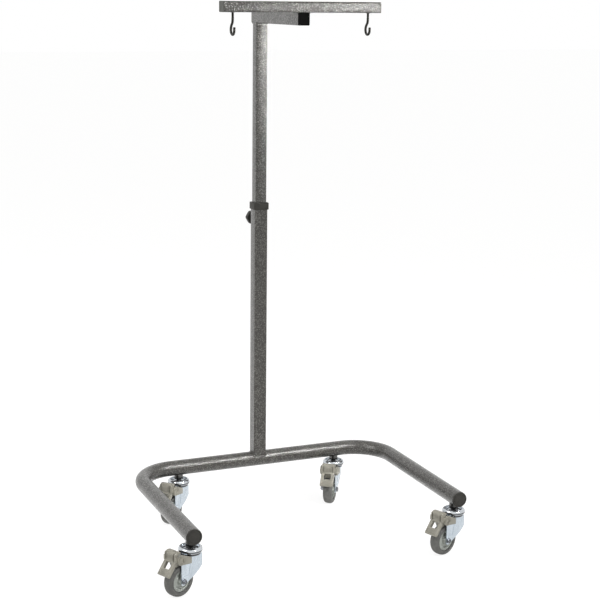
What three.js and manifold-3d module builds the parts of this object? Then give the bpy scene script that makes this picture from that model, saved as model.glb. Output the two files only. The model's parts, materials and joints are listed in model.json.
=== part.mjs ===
// Gong stand on four braked swivel casters, in millimetres, with Z up.
// X runs along the crossbar and the rear bar. The open side of the U base faces -Y.
import * as THREE from 'three';
import Module from 'manifold-3d';
import { mergeVertices } from 'three/addons/utils/BufferGeometryUtils.js';

// Overall
const standHeight = 1368.4;

// U base, one bent round tube
const legSpan = 704.4;
const legReach = 493;
const baseTubeDiameter = 40;
const baseTubeWall = 2;
const baseBendRadius = 103.4;
const rearCasterSpan = 454;
const frontCasterInset = 27.5;

// End caps of the legs
const capFlangeDiameter = 39;
const capFlangeHeight = 3;
const capDomeHeight = 1.5;
const capPlugLength = 16;
const capPlugWall = 2.5;

// Upright, two square tubes that slide one in the other
const outerTubeSize = 35;
const outerTubeWall = 2;
const outerTubeCorner = 3;
const outerTubeLength = 700;
const innerTubeSize = 30;
const innerTubeWall = 2;
const innerTubeCorner = 2.5;
const innerTubeOverlap = 400;

// Plastic collar on the outer tube's top end
const collarWall = 3;
const collarSkirt = 14;
const collarTop = 4;

// Clamp screw with its knob, on the back of the outer tube
const clampDrop = 42;
const clampBossDiameter = 18;
const clampBossLength = 12;
const clampScrewDiameter = 8;
const knobDiameter = 40;
const knobLobeDepth = 3;
const knobHeight = 15;
const knobEdge = 2;
const knobHubDiameter = 17;
const knobHubLength = 8;
const knobGap = 0.8;

// Arm that carries the crossbar forward
const armLength = 306;
const armSize = 30;
const armWall = 2;
const armCorner = 2.5;
const armOverhang = 6.5;

// Crossbar across the arm's front end
const crossbarLength = 405.6;
const crossbarHeight = 26;
const crossbarDepth = 30;
const crossbarWall = 2;
const crossbarCorner = 2.5;

// Plugs in the ends of the square tubes
const plugFlange = 1.2;
const plugLength = 14;
const plugWall = 2;

// Hooks and the threaded inserts that hold them
const hookInset = 27.1;
const hookWire = 6;
const hookShank = 16.2;
const hookSetBack = 12;
const hookThroat = 23;
const hookDrop = 55.2;
const hookTipRise = 21;
const insertFlangeDiameter = 11;
const insertFlange = 0.8;
const insertDiameter = 9.2;
const insertLength = 12;

// Caster wheel
const wheelDiameter = 80;
const wheelWidth = 25;
const tyreBoreDiameter = 54;
const tyreBoreWidth = 21;
const tyreCrownWidth = 9;
const tyreShoulderDrop = 4.5;
const hubRimWidth = 19;
const hubRimWall = 4;
const hubWebWidth = 9;
const hubBossDiameter = 20;
const hubBossWidth = 28;

// Caster fork, pressed from sheet
const trail = 38;
const forkInnerWidth = 30;
const forkSheet = 2.5;
const tyreHeadroom = 15.7;
const crownRadius = 28;
const crownApron = 9.5;
const crownFront = 33;
const crownLipRadius = 24.5;
const crownLip = 4.7;
const cheekEndRadius = 10;
const cheekNeckDrop = 12;
const lugRadius = 7.5;

// Swivel race, its bolt and the boss under the base tube
const raceRadius = 29;
const raceHeight = 13;
const raceRim = 7;
const raceShoulder = 6;
const racePlate = 3;
const racePlateRise = 3;
const raceUndercut = 1.5;
const bossRise = 11;
const bossDiameter = 23;
const bossLength = 9;
const neckDiameter = 12.6;
const kingBoltDiameter = 8;
const kingBoltEngagement = 9;
const kingHeadFlats = 13;
const kingHeadHeight = 5.5;

// Wheel axle
const axleDiameter = 8;
const axleHeadFlats = 13;
const axleHeadHeight = 5;
const axleNutHeight = 6;
const axleThreadOut = 2;

// Brake pedal, seen from its pin
const pinReach = 49;
const pinRise = 1.5;
const pinDiameter = 6;
const pinSeat = 3.5;
const earThickness = 6;
const earRadius = 12.5;
const earTailReach = 31.5;
const earTailTop = -0.5;
const earTailBottom = -15.5;
const pedalWidth = 36;
const pedalSkin = 3.5;
const pedalSkirtWall = 3.2;
const wingReach = 17.4;
const wingRise = 16.4;
const wingDrop = 1.8;
const pedalReach = 41;
const pedalDrop = 31.3;
const roofPeakReach = 8;
const roofPeakRise = 20.5;
const roofBackReach = -1;
const roofBackRise = 19;
const roofSkin = 4;
const bridgeDepth = 8.5;
const bridgeDrop = 3;
const windowWidth = 17.5;
const windowRim = 2.4;
const shoeWidth = 20;
const shoeGap = 0.5;
const shoeNeck = 3.6;

// Clearances
const weldGap = 0.3;
const seatGap = 0.3;
const slideGap = 0.4;
const runningGap = 0.4;
const swivelGap = 0.3;
const lugGap = 1;
const overrun = 5;

// Counts of flats and steps on round forms
const baseTubeSides = 24;
const boreSides = 12;
const roundSides = 16;
const smallSides = 12;
const pinSides = 8;
const wheelSides = 28;
const raceSides = 20;
const bendSteps = 6;
const cornerSteps = 2;
const hookSides = 8;
const hookBendSteps = 4;
const hookThroatSteps = 8;
const curveSteps = 4;
const rearCurveSteps = 5;
const raceCrestSteps = 3;
const earSteps = 7;
const shoeSteps = 2;
const knobLobes = 6;
const knobLobeSteps = 4;

// Shares, chosen by hand
const hookBendShare = 0.5;
const boreCornerShare = 0.4;
const rearCurveShares = [[0.05, 0.51], [0.5, 0.73]];
const windowShares = [0.09, 0.49];
const shoeArcShares = [0.37, 0.44];
const earArcShares = [-0.56, 0.6];
const tyreRoundShares = [[0, 0.36], [0.38, 0.68], [0.71, 0.88], [1, 1]];
const raceRoundShares = [[0, 0.25], [0.35, 0.06], [0.75, 0]];

// Headings of the four casters as they happen to stand, in shares of a turn from +X
const casterTurnShares = {
  frontLeft: 205 / 360,
  frontRight: 201 / 360,
  rearLeft: 220 / 360,
  rearRight: 233 / 360,
};

// Colours of the finishes
const framePaint = { color: 0x7d7c79, roughness: 0.45, metalness: 0.6 };
const darkPlastic = { color: 0x2c2b2d, roughness: 0.55, metalness: 0 };
const plugPlastic = { color: 0x4a4a48, roughness: 0.6, metalness: 0 };
const darkSteel = { color: 0x34332f, roughness: 0.4, metalness: 0.8 };
const chromePlate = { color: 0xd9dde0, roughness: 0.08, metalness: 1 };
const zincPlate = { color: 0xb9c2cc, roughness: 0.3, metalness: 0.9 };
const boltZinc = { color: 0x9aa1a8, roughness: 0.35, metalness: 0.9 };
const pedalPlastic = { color: 0x8b8878, roughness: 0.6, metalness: 0 };
const tyreRubber = { color: 0x4c4c4e, roughness: 0.8, metalness: 0 };
const hubPlastic = { color: 0x8f918b, roughness: 0.55, metalness: 0 };

// Values worked out from the sizes above
const baseTubeRadius = baseTubeDiameter / 2;
const wheelRadius = wheelDiameter / 2;
const axleHeight = wheelRadius * Math.cos(Math.PI / wheelSides);
const crownHeight = axleHeight + wheelRadius + tyreHeadroom;
const crownUnderside = crownHeight - forkSheet;
const forkHalf = forkInnerWidth / 2 + forkSheet;
const raceBottom = crownHeight + crownLip + swivelGap;
const raceTop = raceBottom + raceHeight;
const raceSeat = raceBottom + racePlateRise + racePlate;
const baseTubeHeight = raceTop + bossRise + baseTubeRadius;
const pinHeight = crownHeight + pinRise;
const earInside = forkHalf + slideGap;
const bridgeReach = lugRadius + lugGap;
const bridgeRise = Math.sqrt(earRadius * earRadius - bridgeReach * bridgeReach);
const pedalSkirt = wingReach - bridgeReach;
const outerTubeTop = baseTubeHeight + outerTubeLength;
const armTop = standHeight - crossbarHeight - weldGap;
const armBottom = armTop - armSize;
const innerTubeTop = armBottom - weldGap;
const innerTubeBottom = outerTubeTop - innerTubeOverlap;
const armRear = innerTubeSize / 2 + armOverhang;
const armFront = armRear - armLength;
const armFace = armFront - seatGap - plugFlange;
const clampHeight = outerTubeTop - clampDrop;
const hookReach = crossbarLength / 2 - hookInset;

const wasm = await Module();
wasm.setup();

// A closed geometry as a solid for cutting and joining
function toSolid(geometry) {
  const bare = geometry.clone();
  bare.deleteAttribute('normal');
  bare.deleteAttribute('uv');
  const merged = mergeVertices(bare);
  const corners = merged.index.array;
  const kept = [];
  for (let i = 0; i < corners.length; i += 3) {
    const [a, b, c] = [corners[i], corners[i + 1], corners[i + 2]];
    if (a !== b && b !== c && c !== a) kept.push(a, b, c);
  }
  return new wasm.Manifold(new wasm.Mesh({
    numProp: 3,
    vertProperties: new Float32Array(merged.attributes.position.array),
    triVerts: new Uint32Array(kept),
  }));
}

// A solid back as a geometry
function toGeometry(solid) {
  const mesh = solid.getMesh();
  const geometry = new THREE.BufferGeometry();
  geometry.setAttribute('position', new THREE.BufferAttribute(mesh.vertProperties, 3));
  geometry.setIndex(new THREE.BufferAttribute(mesh.triVerts, 1));
  return geometry;
}

// A path through fixed stations, so that straight runs take one step
class StationPath extends THREE.Curve {
  constructor(stations) {
    super();
    this.stations = stations;
  }

  getPoint(share) {
    const last = this.stations.length - 1;
    const place = share * last;
    const index = Math.min(Math.floor(place), last - 1);
    return this.stations[index].clone().lerp(this.stations[index + 1], place - index);
  }

  getPointAt(share) {
    return this.getPoint(share);
  }

  getTangentAt(share) {
    const last = this.stations.length - 1;
    const index = Math.round(share * last);
    const here = this.stations[index];
    const tangent = new THREE.Vector3();
    if (index > 0) tangent.add(here.clone().sub(this.stations[index - 1]).normalize());
    if (index < last) tangent.add(this.stations[index + 1].clone().sub(here).normalize());
    return tangent.normalize();
  }
}

// Points on an arc in a plane, with both ends
function arcPoints(centreX, centreY, radius, from, to, steps) {
  const points = [];
  for (let i = 0; i <= steps; i += 1) {
    const angle = from + ((to - from) * i) / steps;
    points.push(new THREE.Vector2(centreX + radius * Math.cos(angle), centreY + radius * Math.sin(angle)));
  }
  return points;
}

function circlePoints(radius, sides) {
  return arcPoints(0, 0, radius, 0, 2 * Math.PI, sides).slice(0, sides);
}

function roundedRectangle(width, height, corner) {
  const x = width / 2 - corner;
  const y = height / 2 - corner;
  const quarter = Math.PI / 2;
  return [
    ...arcPoints(x, -y, corner, -quarter, 0, cornerSteps),
    ...arcPoints(x, y, corner, 0, quarter, cornerSteps),
    ...arcPoints(-x, y, corner, quarter, 2 * quarter, cornerSteps),
    ...arcPoints(-x, -y, corner, 2 * quarter, 3 * quarter, cornerSteps),
  ];
}

// A prism along +Z over an outline of points, with an optional hole
function prism(outline, length, hole) {
  const shape = new THREE.Shape(outline);
  if (hole) shape.holes.push(new THREE.Path(hole));
  return new THREE.ExtrudeGeometry(shape, { depth: length, bevelEnabled: false });
}

// A prism over an outline in X and Z, centred on Y
function sidePrism(outline, width) {
  return prism(outline, width).rotateX(Math.PI / 2).translate(0, width / 2, 0);
}

// A square tube along +Z with an open bore
function squareTube(width, height, corner, wall, length) {
  const outline = roundedRectangle(width, height, corner);
  const bore = roundedRectangle(width - 2 * wall, height - 2 * wall, corner * boreCornerShare);
  return prism(outline, length, bore);
}

// A turned piece about +Z, from points of radius and height
function turned(profile, sides, phase = 0) {
  const points = profile.map(([radius, height]) => new THREE.Vector2(radius, height));
  return new THREE.LatheGeometry(points, sides, phase).rotateX(Math.PI / 2);
}

// A round bar along +Z
function roundBar(radius, length, sides) {
  return prism(circlePoints(radius, sides), length);
}

// A hexagon bar along +Z, by its size across flats
function hexBar(flats, length) {
  return prism(circlePoints(flats / 2 / Math.cos(Math.PI / 6), 6), length);
}

// A round bar along Y, for cuts, centred on a point
function barAlongY(radius, length, sides, x, z) {
  return roundBar(radius, length, sides).rotateX(Math.PI / 2).translate(x, length / 2, z);
}

function sweep(stations, radius, sides, boreRadius, boreSideCount) {
  const section = new THREE.Shape(circlePoints(radius, sides));
  if (boreRadius) section.holes.push(new THREE.Path(circlePoints(boreRadius, boreSideCount)));
  return new THREE.ExtrudeGeometry(section, {
    steps: stations.length - 1,
    extrudePath: new StationPath(stations),
    bevelEnabled: false,
  });
}

function addPiece(parent, name, geometry, finish) {
  const piece = new THREE.Mesh(geometry, new THREE.MeshStandardMaterial(finish));
  piece.name = name;
  parent.add(piece);
  return piece;
}

// The U base: two legs, two bends and the rear bar
function baseTube() {
  const half = legSpan / 2;
  const bendX = half - baseBendRadius;
  const right = arcPoints(bendX, -baseBendRadius, baseBendRadius, 0, Math.PI / 2, bendSteps);
  const left = arcPoints(-bendX, -baseBendRadius, baseBendRadius, Math.PI / 2, Math.PI, bendSteps);
  const route = [
    new THREE.Vector2(half, -legReach),
    ...right,
    ...left,
    new THREE.Vector2(-half, -legReach),
  ];
  const stations = route.map((point) => new THREE.Vector3(point.x, point.y, 0));
  return sweep(stations, baseTubeRadius, baseTubeSides, baseTubeRadius - baseTubeWall, boreSides);
}

// A domed plastic cap with a hollow plug, turned about Z, with its face up
function legCap() {
  const flange = capFlangeDiameter / 2;
  const plug = (baseTubeRadius - baseTubeWall) * Math.cos(Math.PI / boreSides) - seatGap;
  return turned([
    [0, -capPlugWall],
    [plug - capPlugWall, -capPlugWall],
    [plug - capPlugWall, -capPlugLength],
    [plug, -capPlugLength],
    [plug, 0],
    [flange, 0],
    [flange, capFlangeHeight - capDomeHeight],
    [flange - capDomeHeight, capFlangeHeight],
    [0, capFlangeHeight + capDomeHeight],
  ], roundSides);
}

// The lower square tube: its foot is coped to the rear bar, with a hole for the clamp screw
function outerTube() {
  const tube = toSolid(squareTube(outerTubeSize, outerTubeSize, outerTubeCorner, outerTubeWall,
    outerTubeLength));
  const bar = roundBar(baseTubeRadius + weldGap, outerTubeSize + 2 * overrun, baseTubeSides * 2)
    .rotateY(Math.PI / 2).translate(-outerTubeSize / 2 - overrun, 0, 0);
  const hole = roundBar(clampScrewDiameter / 2 + runningGap, outerTubeSize, smallSides)
    .rotateX(-Math.PI / 2).translate(0, 0, outerTubeLength - clampDrop);
  return toGeometry(tube.subtract(toSolid(bar)).subtract(toSolid(hole)));
}

// The collar: a skirt over the outer tube and a lip that guides the inner one
function collar() {
  const skirt = outerTubeSize + 2 * (collarWall + seatGap);
  const corner = outerTubeCorner + collarWall;
  const body = toSolid(prism(roundedRectangle(skirt, skirt, corner), collarSkirt + collarTop));
  const seat = outerTubeSize + 2 * seatGap;
  const pocket = prism(roundedRectangle(seat, seat, outerTubeCorner), collarSkirt + overrun)
    .translate(0, 0, -overrun);
  const guide = innerTubeSize + 2 * slideGap;
  const bore = prism(roundedRectangle(guide, guide, innerTubeCorner), collarSkirt + collarTop + overrun);
  return toGeometry(body.subtract(toSolid(pocket)).subtract(toSolid(bore)));
}

// A threaded boss for the clamp screw, along Z
function clampBoss() {
  const bore = circlePoints(clampScrewDiameter / 2 + runningGap, smallSides);
  return prism(circlePoints(clampBossDiameter / 2, roundSides), clampBossLength, bore);
}

// A lobed knob with a hub, along Z, with a blind hole for its screw
function knob() {
  const outline = [];
  const count = knobLobes * knobLobeSteps;
  for (let i = 0; i < count; i += 1) {
    const angle = (2 * Math.PI * i) / count;
    const wave = (1 - Math.cos(angle * knobLobes)) / 2;
    const radius = knobDiameter / 2 - knobEdge - knobLobeDepth * wave;
    outline.push(new THREE.Vector2(radius * Math.cos(angle), radius * Math.sin(angle)));
  }
  const head = new THREE.ExtrudeGeometry(new THREE.Shape(outline), {
    depth: knobHeight - 2 * knobEdge,
    bevelThickness: knobEdge,
    bevelSize: knobEdge,
    bevelSegments: 1,
  }).translate(0, 0, knobHubLength + knobEdge);
  const hub = roundBar(knobHubDiameter / 2, knobHubLength + knobEdge, roundSides);
  const hole = roundBar(clampScrewDiameter / 2 + seatGap, knobHubLength + knobHeight / 2, smallSides)
    .translate(0, 0, -overrun);
  return toGeometry(toSolid(head).add(toSolid(hub)).subtract(toSolid(hole)));
}

// A hollow plug for a square tube: a thin flange at Z zero and the plug below it
function squarePlug(width, height, corner, wall) {
  const flange = toSolid(prism(roundedRectangle(width, height, corner), plugFlange));
  const inset = 2 * (wall + seatGap);
  const plug = prism(roundedRectangle(width - inset, height - inset, plugWall / 2), plugLength)
    .translate(0, 0, -plugLength);
  const hollow = inset + 2 * plugWall;
  const cut = prism(roundedRectangle(width - hollow, height - hollow, plugWall / 2), plugLength)
    .translate(0, 0, -plugLength - plugWall);
  return toGeometry(flange.add(toSolid(plug)).subtract(toSolid(cut)));
}

// The crossbar along Z, with its two insert holes in the side at -Y
function crossbarTube() {
  let tube = toSolid(squareTube(crossbarDepth, crossbarHeight, crossbarCorner, crossbarWall,
    crossbarLength));
  for (const side of [-1, 1]) {
    const hole = roundBar(insertDiameter / 2 + seatGap, crossbarHeight, smallSides)
      .rotateX(Math.PI / 2).translate(0, 0, crossbarLength / 2 + side * hookReach);
    tube = tube.subtract(toSolid(hole));
  }
  return toGeometry(tube);
}

// A hook in the plane of Y and Z, hung from Z zero, with its tip in front
function hook() {
  const radius = hookThroat / 2;
  const low = -hookDrop + hookWire / 2 + radius;
  const top = new THREE.Vector2(0, -hookShank);
  const back = new THREE.Vector2(hookSetBack, low);
  const lead = (top.y - back.y) * hookBendShare;
  const bend = new THREE.CubicBezierCurve(
    top,
    new THREE.Vector2(top.x, top.y - lead),
    new THREE.Vector2(back.x, back.y + lead),
    back,
  );
  const route = [
    new THREE.Vector2(0, insertLength),
    ...bend.getPoints(hookBendSteps),
    ...arcPoints(hookSetBack - radius, low, radius, 0, -Math.PI, hookThroatSteps).slice(1),
    new THREE.Vector2(hookSetBack - hookThroat, hookTipRise - hookDrop),
  ];
  return sweep(route.map((point) => new THREE.Vector3(0, point.x, point.y)), hookWire / 2, hookSides);
}

// A threaded insert, turned about Z, with its flange below Z zero
function hookInsert() {
  const bore = hookWire / 2 + seatGap;
  const flange = insertFlangeDiameter / 2;
  const body = insertDiameter / 2;
  return turned([
    [bore, -insertFlange - seatGap],
    [flange, -insertFlange - seatGap],
    [flange, -seatGap],
    [body, -seatGap],
    [body, insertLength],
    [bore, insertLength],
    [bore, -insertFlange - seatGap],
  ], roundSides);
}

// A closed profile from its upper half, given from the bore outwards, and its mirror below
function bothHalves(upper) {
  const lower = upper.map(([radius, height]) => [radius, -height]);
  return [...lower, ...upper.slice().reverse(), lower[0]];
}

// The tyre, turned about the axle, with a flat on the floor
function tyre() {
  const bore = tyreBoreDiameter / 2;
  const half = wheelWidth / 2;
  const side = wheelRadius - tyreShoulderDrop - (wheelRadius - bore) / 2;
  const upper = [[bore, tyreBoreWidth / 2]];
  for (const [out, up] of tyreRoundShares) {
    const width = half - (half - tyreCrownWidth / 2) * out * out;
    upper.push([side + (wheelRadius - side) * up, width]);
  }
  return turned(bothHalves(upper), wheelSides, Math.PI / wheelSides);
}

// The hub: a rim, a thinner web and a boss with the axle's bore
function hub() {
  const rim = tyreBoreDiameter / 2 - seatGap;
  const web = rim - hubRimWall;
  const boss = hubBossDiameter / 2;
  return turned(bothHalves([
    [axleDiameter / 2 + runningGap, hubBossWidth / 2],
    [boss - hubRimWall / 2, hubBossWidth / 2],
    [boss, hubWebWidth / 2],
    [web, hubWebWidth / 2],
    [web, hubRimWidth / 2],
    [rim, hubRimWidth / 2],
  ]), roundSides, Math.PI / roundSides);
}

// The fork's outline from above: flat sides, a round back and an open front
function forkPlan(radius, half) {
  const turn = Math.asin(half / radius);
  const front = pinReach + lugRadius + overrun;
  return [
    new THREE.Vector2(front, -half),
    new THREE.Vector2(front, half),
    ...arcPoints(0, 0, radius, Math.PI - turn, Math.PI + turn, curveSteps),
  ];
}

// The fork's outline from the side, with the axle end below and the brake lug in front
function forkSide() {
  const quarter = Math.PI / 4;
  const end = cheekEndRadius * Math.cos(quarter);
  const start = new THREE.Vector2(-crownRadius, crownHeight - crownApron);
  const finish = new THREE.Vector2(trail - end, axleHeight - end);
  const span = finish.clone().sub(start);
  const [first, second] = rearCurveShares.map(([x, y]) => start.clone().add(
    new THREE.Vector2(span.x * x, span.y * y)));
  const rear = new THREE.CubicBezierCurve(start, first, second, finish);
  return [
    new THREE.Vector2(-crownRadius, crownHeight),
    ...rear.getPoints(rearCurveSteps),
    ...arcPoints(trail, axleHeight, cheekEndRadius, -3 * quarter, -quarter, curveSteps).slice(1),
    new THREE.Vector2(trail + end, pinHeight - cheekNeckDrop),
    ...arcPoints(pinReach, pinHeight, lugRadius, -quarter, Math.PI, curveSteps),
    new THREE.Vector2(crownFront, crownHeight),
  ];
}

// The fork: a pressed channel with two cheeks, a round crown and holes for its three pins
function fork() {
  const height = pinHeight + lugRadius + overrun;
  const width = 2 * forkHalf;
  let body = toSolid(sidePrism(forkSide(), width))
    .intersect(toSolid(prism(forkPlan(crownRadius, forkHalf), height)))
    .subtract(toSolid(prism(forkPlan(crownRadius - forkSheet, forkInnerWidth / 2), crownUnderside)));
  const mouth = sidePrism([
    new THREE.Vector2(crownFront, 0),
    new THREE.Vector2(pinReach + lugRadius + overrun, 0),
    new THREE.Vector2(pinReach + lugRadius + overrun, height),
    new THREE.Vector2(crownFront, height),
  ], forkInnerWidth);
  const lip = roundBar(crownLipRadius, crownLip + weldGap, raceSides)
    .translate(0, 0, crownHeight - weldGap);
  const kingHole = roundBar(kingBoltDiameter / 2 + runningGap, raceTop, smallSides);
  body = body.subtract(toSolid(mouth)).add(toSolid(lip)).subtract(toSolid(kingHole));
  const axleHole = barAlongY(axleDiameter / 2 + seatGap, width + overrun, smallSides, trail, axleHeight);
  const pinHole = barAlongY(pinDiameter / 2 + seatGap, width + overrun, pinSides, pinReach, pinHeight);
  return toGeometry(body.subtract(toSolid(axleHole)).subtract(toSolid(pinHole)));
}

// The swivel race: a plated dish with a round rim, open in the middle for its bolt
function race() {
  const bore = kingBoltDiameter / 2 + seatGap;
  const plateBottom = racePlateRise;
  const plateTop = plateBottom + racePlate;
  const rim = raceRadius - raceRim;
  const round = raceRoundShares.map(([up, inward]) => [
    raceRadius - raceRim * inward,
    raceUndercut * up,
  ]);
  const crest = arcPoints(raceRadius - raceShoulder, raceHeight - raceShoulder, raceShoulder, 0,
    Math.PI / 2, raceCrestSteps).map((point) => [point.x, point.y]);
  const profile = [
    [bore, plateBottom],
    [rim + raceUndercut, plateBottom],
    [rim + 2 * raceUndercut, 0],
    ...round,
    ...crest,
    [rim, plateTop],
    [bore, plateTop],
    [bore, plateBottom],
  ];
  return turned(profile, raceSides);
}

// The boss under the base tube, coped to the tube along X, and its neck up from Z zero
function stemBoss() {
  const bar = roundBar(baseTubeRadius + weldGap, bossDiameter + 2 * overrun, baseTubeSides * 2)
    .rotateY(Math.PI / 2)
    .translate(-bossDiameter / 2 - overrun, 0, baseTubeHeight - raceSeat);
  const shoulder = baseTubeHeight - baseTubeRadius - bossLength - raceSeat;
  const body = turned([
    [0, seatGap],
    [neckDiameter / 2, seatGap],
    [neckDiameter / 2, shoulder],
    [bossDiameter / 2, shoulder],
    [bossDiameter / 2, baseTubeHeight - raceSeat],
    [0, baseTubeHeight - raceSeat],
  ], smallSides);
  const bore = roundBar(kingBoltDiameter / 2 + seatGap, kingBoltEngagement + seatGap, smallSides);
  return toGeometry(toSolid(body).subtract(toSolid(bar)).subtract(toSolid(bore)));
}

// The bolt that the fork turns on, with its head under the crown at Z zero
function kingBolt() {
  const length = raceSeat + kingBoltEngagement - crownUnderside;
  const shank = roundBar(kingBoltDiameter / 2, length + kingHeadHeight, smallSides)
    .translate(0, 0, -kingHeadHeight);
  const head = hexBar(kingHeadFlats, kingHeadHeight - swivelGap).translate(0, 0, -kingHeadHeight);
  return toGeometry(toSolid(shank).add(toSolid(head)));
}

// The axle bolt along Z from its head, which starts at Z zero
function axleBolt() {
  const length = 2 * forkHalf + 2 * seatGap + axleNutHeight + axleThreadOut;
  const shank = roundBar(axleDiameter / 2, length + axleHeadHeight, smallSides)
    .translate(0, 0, -axleHeadHeight);
  const head = hexBar(axleHeadFlats, axleHeadHeight).translate(0, 0, -axleHeadHeight);
  return toGeometry(toSolid(shank).add(toSolid(head)));
}

// A hexagon nut along Z
function axleNut() {
  const bore = circlePoints(axleDiameter / 2 + seatGap, smallSides);
  const flats = circlePoints(axleHeadFlats / 2 / Math.cos(Math.PI / 6), 6);
  return prism(flats, axleNutHeight, bore);
}

// A point on the pedal's slope: so far down from its bend and so far in from its face
function onSlope(along, inward) {
  const run = new THREE.Vector2(pedalReach - wingReach, wingDrop - pedalDrop).normalize();
  return new THREE.Vector2(wingReach, -wingDrop)
    .addScaledVector(run, along)
    .addScaledVector(new THREE.Vector2(run.y, -run.x), inward);
}

// A block in the pedal's slope, between two places along it and two depths
function slopeBlock(near, far, face, back, width) {
  return toSolid(sidePrism([
    onSlope(near, face),
    onSlope(near, back),
    onSlope(far, back),
    onSlope(far, face),
  ], width));
}

// The pedal's block from the side, seen from the pin: a roof, an upright wing and a slope
function pedalSide(length) {
  const lean = Math.atan2(pedalReach - wingReach, pedalDrop - wingDrop);
  return [
    new THREE.Vector2(wingReach, wingRise),
    new THREE.Vector2(roofPeakReach, roofPeakRise),
    new THREE.Vector2(roofBackReach, roofBackRise),
    new THREE.Vector2(roofBackReach, roofBackRise - roofSkin),
    new THREE.Vector2(bridgeReach, bridgeRise),
    onSlope(-pedalSkirt * Math.tan(lean / 2), pedalSkirt),
    onSlope(length, pedalSkirt),
    onSlope(length, 0),
    onSlope(0, 0),
  ];
}

// The ear beside the fork's cheek: a round boss at the pin and a tail towards the crown
function earSide() {
  const [from, to] = earArcShares.map((share) => share * Math.PI);
  return [
    new THREE.Vector2(-earTailReach, earTailTop),
    new THREE.Vector2(-earTailReach, earTailBottom),
    ...arcPoints(0, 0, earRadius, from, to, earSteps),
  ];
}

// The moulded brake pedal with its pin at the origin
function brakePedal() {
  const length = Math.hypot(pedalReach - wingReach, pedalDrop - wingDrop);
  const [near, far] = windowShares.map((share) => share * length);
  const within = pedalWidth - 2 * pedalSkirtWall;
  let body = toSolid(sidePrism(pedalSide(length), pedalWidth))
    .subtract(slopeBlock(0, length - pedalSkin, pedalSkin, pedalSkirt + overrun, within))
    .add(slopeBlock(near - windowRim, far + windowRim, 0, pedalSkirt, windowWidth + 2 * windowRim));
  const bridge = sidePrism([
    new THREE.Vector2(bridgeReach, -bridgeDrop),
    new THREE.Vector2(bridgeReach + bridgeDepth, -bridgeDrop),
    new THREE.Vector2(bridgeReach + bridgeDepth, bridgeRise),
    new THREE.Vector2(bridgeReach, bridgeRise),
  ], 2 * earInside + earThickness);
  body = body.add(toSolid(bridge));
  for (const side of [-1, 1]) {
    const ear = sidePrism(earSide(), earThickness)
      .translate(0, side * (earInside + earThickness / 2), 0);
    body = body.add(toSolid(ear));
  }
  const centreX = trail - pinReach;
  const centreZ = axleHeight - pinHeight;
  const reach = wheelRadius + shoeGap;
  const [from, to] = shoeArcShares.map((share) => share * Math.PI);
  const shoe = sidePrism([
    ...arcPoints(centreX, centreZ, reach, from, to, shoeSteps),
    new THREE.Vector2(shoeNeck, -shoeNeck),
    new THREE.Vector2(bridgeReach, bridgeDrop),
    new THREE.Vector2(bridgeReach + pedalSkin, -bridgeDrop),
  ], shoeWidth);
  const pinLength = 2 * (earInside + pinSeat);
  const pinHole = barAlongY(pinDiameter / 2 + runningGap, pinLength + 2 * seatGap, pinSides, 0, 0);
  return toGeometry(body.add(toSolid(shoe))
    .subtract(slopeBlock(near, far, -overrun, pedalSkirt + overrun, windowWidth))
    .subtract(toSolid(pinHole)));
}

const stand = new THREE.Group();

// The welded base and the lower half of the upright
function buildFrame() {
  const frame = new THREE.Group();
  addPiece(frame, 'base_tube', baseTube(), framePaint).position.z = baseTubeHeight;
  addPiece(frame, 'upright_outer', outerTube(), framePaint).position.z = baseTubeHeight;
  for (const [side, name] of [[-1, 'left'], [1, 'right']]) {
    const cap = addPiece(frame, `end_cap_${name}`, legCap(), darkPlastic);
    cap.rotation.x = Math.PI / 2;
    cap.position.set((side * legSpan) / 2, -legReach - seatGap, baseTubeHeight);
  }
  addPiece(frame, 'upright_collar', collar(), darkPlastic)
    .position.z = outerTubeTop + seatGap - collarSkirt;
  const boss = addPiece(frame, 'clamp_boss', clampBoss(), framePaint);
  boss.rotation.x = -Math.PI / 2;
  boss.position.set(0, outerTubeSize / 2 + weldGap, clampHeight);
  return frame;
}

// The knob and its screw, whose tip presses on the inner tube
function buildClamp() {
  const clamp = new THREE.Group();
  clamp.rotation.x = -Math.PI / 2;
  clamp.position.set(0, outerTubeSize / 2 + weldGap + clampBossLength + knobGap, clampHeight);
  addPiece(clamp, 'clamp_knob', knob(), darkPlastic);
  const tip = innerTubeSize / 2 + seatGap - clamp.position.y;
  const end = knobHubLength + knobHeight / 2 - overrun - seatGap;
  addPiece(clamp, 'clamp_screw', roundBar(clampScrewDiameter / 2, end - tip, smallSides), boltZinc)
    .position.z = tip;
  return clamp;
}

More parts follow.
